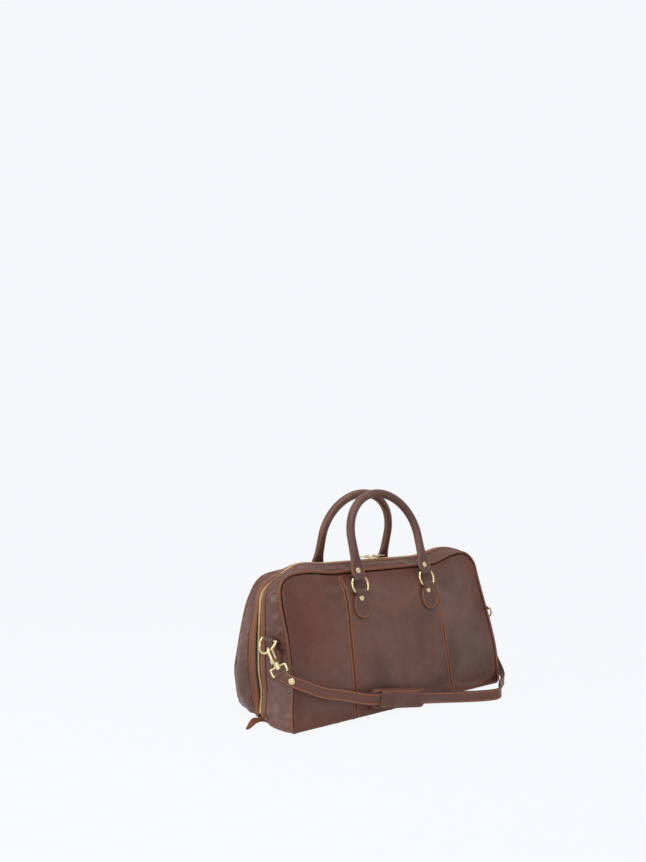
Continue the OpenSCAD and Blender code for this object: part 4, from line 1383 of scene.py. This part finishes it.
def make_zip_end_tab(side):
    """A soft leaf of leather at the foot of the zip, drooping to the floor."""
    along_share = np.linspace(0, 1, 26)
    lean = -22.0
    half_w = np.interp(along_share, [0, 0.25, 0.5, 0.75, 0.93, 1], [9.5, 10.5, 9, 6.4, 2.8, 0.6])
    across = np.linspace(-1, 1, 15)
    s, t = np.meshgrid(along_share, across, indexing="ij")
    start_x = HALF_L - 5 + (RIGHT_SHIFT / 3 if side > 0 else 0)
    x = side * (start_x + END_TAB_L * s * 0.93)
    y = -2 + lean * s**1.3 + half_w[:, None] * t
    rise = 5.2 * np.sin(math.pi * np.minimum(s * 1.15, 1)) ** 1.2 + 1.6 * (1 - t**2) * (1 - s)
    outer = rows3(x, y, 3.2 + rise)
    inner = outer - np.array([0, 0, 2.0])
    piece = weld(make_shell(f"zip_end_tab_{SIDES[side]}", outer, inner, TRIM_LEATHER, side > 0))
    attribute(piece, "burnish", np.full(len(piece.data.vertices), 0.55))
    bevel(piece, 0.6, 3, 50)
    tie(piece, "root", "trim_leather")
    return piece


# ---- shoulder strap
BAR_R = 1.8
PULLS = [unit([0.2, -0.45, -0.866]), unit([0.06, -0.1, -1])]
HANG_ANGLES = [math.radians(50), 0.0]
FACINGS = [np.array([-0.7, -0.7, 0]), np.array([-1, -0.25, 0])]
DRING_TILT = math.radians(30)


HANG_DROP = 3.0
HANG_R = 20.0
HOOK_REACH = 40.0


def strap_bar(end):
    """Middle, direction and facing of the swivel bar that holds the left (0) or right (1) strap end."""
    down = HANG_DROP + HANG_R * math.cos(HANG_ANGLES[end])
    hang = np.array([
        -DRING_X - math.sin(DRING_TILT) * down,
        -DRING_Y - HANG_R * math.sin(HANG_ANGLES[end]),
        DRING_Z - math.cos(DRING_TILT) * down,
    ])
    pull = PULLS[end]
    facing = unit(FACINGS[end] - (FACINGS[end] @ pull) * pull)
    flip = np.array([-1 if end else 1, 1, 1])
    bar = (hang + pull * HOOK_REACH) * flip + np.array([RIGHT_SHIFT * end, 0, 0])
    return bar, np.cross(facing, pull) * flip, facing * flip, pull * flip


PAD_START = np.array([-100, -112, 35.0])
PAD_END = np.array([45, -115.5, 14.0])
STRAP_LOW = STRAP_W / 2 + 0.4
BAND_START = BAR_R + 0.6


def strap_path():
    """Places along the strap and the direction of its width there."""
    left_bar, left_wide, _, left_pull = strap_bar(0)
    right_bar, right_wide, _, right_pull = strap_bar(1)
    up = (0, 0, 1)
    out = HALF_L + RIGHT_SHIFT
    keys = [
        (left_bar + left_pull * BAND_START, left_wide),
        ((-HALF_L - 4, -91, 86), (0.25, -0.35, 0.9)),
        ((-HALF_L + 11, -100, 79), (0.1, -0.1, 1)),
        ((-HALF_L + 49, -107, 62), up),
        ((-HALF_L + 91, -109, 51), up),
        ((-HALF_L + 126, -110.5, 40.5), up),
        (PAD_START, up),
        (mix(PAD_START, PAD_END, 0.2), up),
        (mix(PAD_START, PAD_END, 0.8), up),
        (PAD_END, up),
        ((73, -121, STRAP_LOW + 0.8), up),
        ((100, -135, STRAP_LOW), up),
        ((130, -152, STRAP_LOW), up),
        ((160, -163, STRAP_LOW), up),
        ((182, -158, STRAP_LOW), up),
        ((202, -140, STRAP_LOW), up),
        ((229, -122, STRAP_LOW), up),
        ((HALF_L + 6, -107, STRAP_LOW + 2), (0, -0.1, 1)),
        ((out + 9, -91, 20), (-0.1, -0.35, 0.9)),
        ((out + 17, -72, 36), (-0.1, -0.7, 0.7)),
        ((out + 20, -55, 58), (0, -0.95, 0.3)),
        (right_bar + right_pull * BAND_START, right_wide),
    ]
    return np.array([k[0] for k in keys], float), np.array([k[1] for k in keys], float)


def spline(values, steps):
    """Catmull-Rom points through a row of values."""
    last = len(values) - 1
    u = np.linspace(0, last, last * steps + 1)
    i = np.minimum(np.floor(u).astype(int), last - 1)
    total = 0
    for m, weight in enumerate(catmull(u - i)):
        total = total + weight[:, None] * values[np.clip(i + m - 1, 0, last)]
    return total


def strap_frames(steps=14):
    places, widths = strap_path()
    centres = spline(places, steps)
    ahead = unit(np.gradient(centres, axis=0))
    wide = spline(widths, steps)
    wide = unit(wide - np.sum(wide * ahead, axis=1)[:, None] * ahead)
    return centres, ahead, wide, np.cross(ahead, wide)


STRAP_STITCH = 2.7


def make_strap():
    centres, ahead, wide, out = strap_frames()
    section, edge = band_section(STRAP_W / 2, STRAP_T / 2, (STRAP_STITCH,))
    parts = [sweep("strap", centres, wide, out, section, STRAP_LEATHER, edge)]
    thin, thin_edge = band_section(STRAP_W / 2 - 0.1, FOLD_HALF)
    for end in (0, 1):
        bar, bar_wide, facing, pull = strap_bar(end)
        turn = np.linspace(0, 2 * math.pi, 28, endpoint=False)
        mid_r = BAR_R + 0.1 + FOLD_HALF
        spoke = np.cos(turn)[:, None] * facing + np.sin(turn)[:, None] * pull
        rim = np.tile(bar_wide, (len(turn), 1))
        ring = bar + mid_r * spoke
        parts.append(sweep("strap_fold", ring, rim, spoke, thin, STRAP_LEATHER, thin_edge, closed=True))
    piece = join(parts)
    tie(piece, "root", "strap_leather", "strap")
    inside = slice(3, len(centres) - 3)
    lines = []
    for side in (-1, 1):
        line = centres + wide * side * (STRAP_W / 2 - STRAP_STITCH) + out * STRAP_T / 2
        lines.append((line[inside], out[inside]))
    stitches = stitch_rows("strap_stitches", lines, 3.6)
    tie(stitches, "root", "strap_leather")


def pad_frame():
    """Middle of the pad and its directions: along the strap, out of it and across its width."""
    ahead = unit(PAD_END - PAD_START)
    wide = unit(np.array([0, 0, 1]) - ahead[2] * ahead)
    return mix(PAD_START, PAD_END, 0.45), ahead, np.cross(ahead, wide), wide


PAD_L = 130.0
PAD_W = 33.0
PAD_CUT = 8.0


def make_pad():
    """The padded leather behind the strap, with cut corners; the sleeve that holds the strap to it is made in
    make_sleeve.
    """
    middle, ahead, out, wide = pad_frame()
    l, w, c = PAD_L / 2, PAD_W / 2, PAD_CUT
    corners = np.array([(c - l, -w), (l - c, -w), (l, c - w), (l, w - c), (l - c, w), (c - l, w), (-l, w - c),
                        (-l, c - w), (c - l, -w)])
    run = along(np.column_stack([corners, 0 * corners[:, 0]]))
    places = np.linspace(0, run[-1], 150, endpoint=False)
    outline = np.column_stack([np.interp(places, run, corners[:, k]) for k in (0, 1)])
    outline = softened(outline, 3)
    spine = np.stack([np.clip(outline[:, 0], w - l, l - w), 0 * outline[:, 0]], axis=1)
    back = STRAP_T / 2 + 0.4
    thick = 4.4

    def place(flat, height):
        return middle + flat[:, :1] * ahead + flat[:, 1:] * wide + out * (height - back - thick)

    body = patch("strap_pad", outline, spine, patch_levels(thick, crown=0.3), place, TAB_LEATHER)
    tie(body, "shoulder_pad", "strap_leather", "strap_pad")
    points, normals = patch_line(outline, spine, place, thick - 0.3)
    closed = [np.concatenate([values, values[:1]]) for values in (points, normals)]
    stitches = stitch_rows("pad_stitches", [closed], 3.4)
    tie(stitches, "shoulder_pad", "strap_leather")


SLEEVE_L = 94.0


def make_sleeve():
    """A flap of leather wrapped round the strap; both its long edges are sewn to the pad."""
    middle, ahead, out, wide = pad_frame()
    inner = STRAP_W / 2 + 0.8
    hem = 3.2
    top = STRAP_T / 2 + 0.5
    profile = np.array([
        (-inner - hem, -STRAP_T / 2 + 0.2), (-inner - 0.6, -STRAP_T / 2 + 0.5), (-inner - 0.2, 0.2),
        (-inner + 0.9, top - 0.2), (-0.6 * inner, top + 0.3), (0, top + 0.5), (0.6 * inner, top + 0.3),
        (inner - 0.9, top - 0.2), (inner + 0.2, 0.2), (inner + 0.6, -STRAP_T / 2 + 0.5),
        (inner + hem, -STRAP_T / 2 + 0.2),
    ])
    flat = spline(profile, 5)
    slope = unit(np.gradient(flat, axis=0))
    normal = np.stack([-slope[:, 1], slope[:, 0]], axis=1)
    lengths = SLEEVE_L / 2 * np.array([-1, -0.985, -0.95, -0.6, -0.2, 0.2, 0.6, 0.95, 0.985, 1])
    rounding = np.array([0.45, 0.1, 0, 0, 0, 0, 0, 0, 0.1, 0.45])
    outer, inside = [], []
    for run, less in zip(lengths, rounding):
        skew = 1.5 * flat[:, :1] / inner
        for store, rise in ((outer, 1.6 - less), (inside, 0.1 + less)):
            shape = flat + normal * rise
            store.append(middle + (run + skew) * ahead + shape[:, :1] * wide + shape[:, 1:] * out)
    piece = weld(make_shell("pad_sleeve", np.array(outer), np.array(inside), STRAP_LEATHER))
    tie(piece, "shoulder_pad", "strap_leather", "pad_sleeve")
    lines = []
    for side in (-1, 1):
        offset = side * (inner + 0.55 * hem)
        start, end = (middle + s * (SLEEVE_L / 2 - 2) * ahead + offset * wide for s in (-1, 1))
        line = mix(start, end, np.linspace(0, 1, 20)[:, None]) + out * (1.7 - STRAP_T / 2 + 0.25)
        lines.append((line, np.tile(out, (20, 1))))
    stitches = stitch_rows("sleeve_stitches", lines, 3.4)
    tie(stitches, "shoulder_pad", "strap_leather")


make_base()
gusset_mesh = HALVES[0].gusset_piece.data
gusset_tree = BVHTree.FromPolygons(
    [vertex.co.copy() for vertex in gusset_mesh.vertices],
    [tuple(face.vertices) for face in gusset_mesh.polygons],
)
for each_half in HALVES:
    make_handle(each_half)
    for each_side in (-1, 1):
        make_tab(each_half, each_side)
for each_side in (-1, 1):
    make_side_tab(each_side, gusset_tree)
end_tabs = [make_zip_end_tab(each_side) for each_side in (-1, 1)]
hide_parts("zip_end_tabs")
make_strap()
make_pad()
make_sleeve()


# ---- finishes for the CAD nodes that are kept
def finish_node(node, material, width=0.0):
    """Gives a kept CAD node its material, and a soft edge where it has sharp ones when a width is given."""
    piece = bpy.data.objects[node]
    piece.data.materials.clear()
    piece.data.materials.append(material)
    piece.data.shade_smooth()
    piece.data.set_sharp_from_angle(angle=math.radians(SHARP_ANGLE))
    if width:
        bevel(piece, width)


ROUNDED_NODES = {"slider": 0.4, "pull": 0.3, "hook": 0.4, "gate": 0.4}
for each_side in SIDES.values():
    for each_name in ("slider", "pull", "d_ring", "hook", "gate", "swivel", "front_ring", "rear_ring"):
        finish_node(f"{each_name}_{each_side}", BRASS, ROUNDED_NODES.get(each_name, 0))
for each_name in ("front", "rear"):
    finish_node(f"{each_name}_tab_rivets", BRASS)
    finish_node(f"{each_name}_handle_rivets", BRASS)
    finish_node(f"{each_name}_handle_cord", CORD)
finish_node("strap_rivets", BRASS)


# ---- camera, light and floor
def aim(thing, target):
    turn = (Vector(target) - thing.location).to_track_quat("-Z", "Y")
    thing.rotation_euler = turn.to_euler()


CAMERA_PLACE = (-0.969, -1.076, 0.392)
CAMERA_YAW = math.radians(38.41)
CAMERA_RISE = math.radians(4.28)
SENSOR_W = 36.0
LENS = 31.32


def add_camera():
    data = bpy.data.cameras.new("camera")
    data.sensor_width = SENSOR_W
    data.lens = LENS
    camera = bpy.data.objects.new("camera", data)
    camera.location = CAMERA_PLACE
    level = math.cos(CAMERA_RISE)
    ahead = Vector((math.sin(CAMERA_YAW) * level, math.cos(CAMERA_YAW) * level, math.sin(CAMERA_RISE)))
    bpy.context.scene.collection.objects.link(camera)
    aim(camera, camera.location + ahead)
    bpy.context.scene.camera = camera


def add_light(name, place, target, size, watts):
    data = bpy.data.lights.new(name, "AREA")
    data.shape = "DISK"
    data.size = size
    data.energy = watts
    light = bpy.data.objects.new(name, data)
    light.location = place
    bpy.context.scene.collection.objects.link(light)
    aim(light, target)


BACKDROP = srgb(246, 247, 250)
WORLD_LIGHT = 0.38
MIRRORED = 0.6
FLOOR_GLOW = 0.95
GLOW_STRENGTH = 1.035
FLOOR_REACH = 9000.0


def add_world():
    """A pale backdrop for the camera, and softer light from it on the bag."""
    world = bpy.data.worlds.new("studio")
    bpy.context.scene.world = world
    world.use_nodes = True
    nodes, links = world.node_tree.nodes, world.node_tree.links
    seen = nodes["Background"]
    seen.inputs["Color"].default_value = BACKDROP
    lit = nodes.new("ShaderNodeBackground")
    lit.inputs["Color"].default_value = BACKDROP
    lit.inputs["Strength"].default_value = WORLD_LIGHT
    choice = nodes.new("ShaderNodeMixShader")
    path = nodes.new("ShaderNodeLightPath")
    mirrored = nodes.new("ShaderNodeMath")
    mirrored.operation = "MULTIPLY_ADD"
    links.new(path.outputs["Is Glossy Ray"], mirrored.inputs[0])
    mirrored.inputs[1].default_value = MIRRORED
    links.new(path.outputs["Is Camera Ray"], mirrored.inputs[2])
    links.new(mirrored.outputs[0], choice.inputs[0])
    links.new(lit.outputs[0], choice.inputs[1])
    links.new(seen.outputs[0], choice.inputs[2])
    links.new(choice.outputs[0], nodes["World Output"].inputs["Surface"])


def floor_finish():
    """A pale floor that the camera sees in the backdrop's colour, with only soft shadows on it."""
    g = Graph("floor")
    speckle = g.noise(14, 4, 0.6)
    colour = g.blend(speckle, srgb(226, 227, 230), srgb(218, 219, 222))
    g.finish(Base_Color=colour, Roughness=0.8, Specular_IOR_Level=0.0, Normal=g.bump(g.noise(300, 3), 0.02))
    glow = g.node("ShaderNodeEmission")
    glow.inputs["Color"].default_value = BACKDROP
    glow.inputs["Strength"].default_value = GLOW_STRENGTH
    choice = g.node("ShaderNodeMixShader")
    path = g.node("ShaderNodeLightPath")
    seen = g.math("MULTIPLY", path.outputs["Is Camera Ray"], FLOOR_GLOW)
    mirrored = g.math("MULTIPLY", path.outputs["Is Glossy Ray"], MIRRORED)
    g.put(choice.inputs[0], g.math("ADD", seen, mirrored))
    g.put(choice.inputs[1], g.shader.outputs[0])
    g.put(choice.inputs[2], glow.outputs[0])
    g.put(g.tree.nodes["Material Output"].inputs["Surface"], choice.outputs[0])
    return g.material


def add_floor():
    corners = [(x * FLOOR_REACH, y * FLOOR_REACH, 0) for x, y in ((-1, -1), (1, -1), (1, 1), (-1, 1))]
    make_mesh("floor", corners, [(0, 1, 2, 3)], floor_finish())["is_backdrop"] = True


add_camera()
add_world()
add_light("over", (-0.4, -0.5, 1.5), (0, 0, 0.15), 0.9, 8)
add_light("front", (-1.3, -1.6, 1.0), (0, 0, 0.15), 0.8, 8)
add_light("side", (-1.7, 0.5, 0.7), (-0.2, 0, 0.15), 0.6, 9)
add_floor()
bpy.context.scene.view_settings.view_transform = "Standard"

boxes = {"cad": cad_box, "model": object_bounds()}
{key: [[float(c) for c in corner] for corner in box] for key, box in boxes.items()}
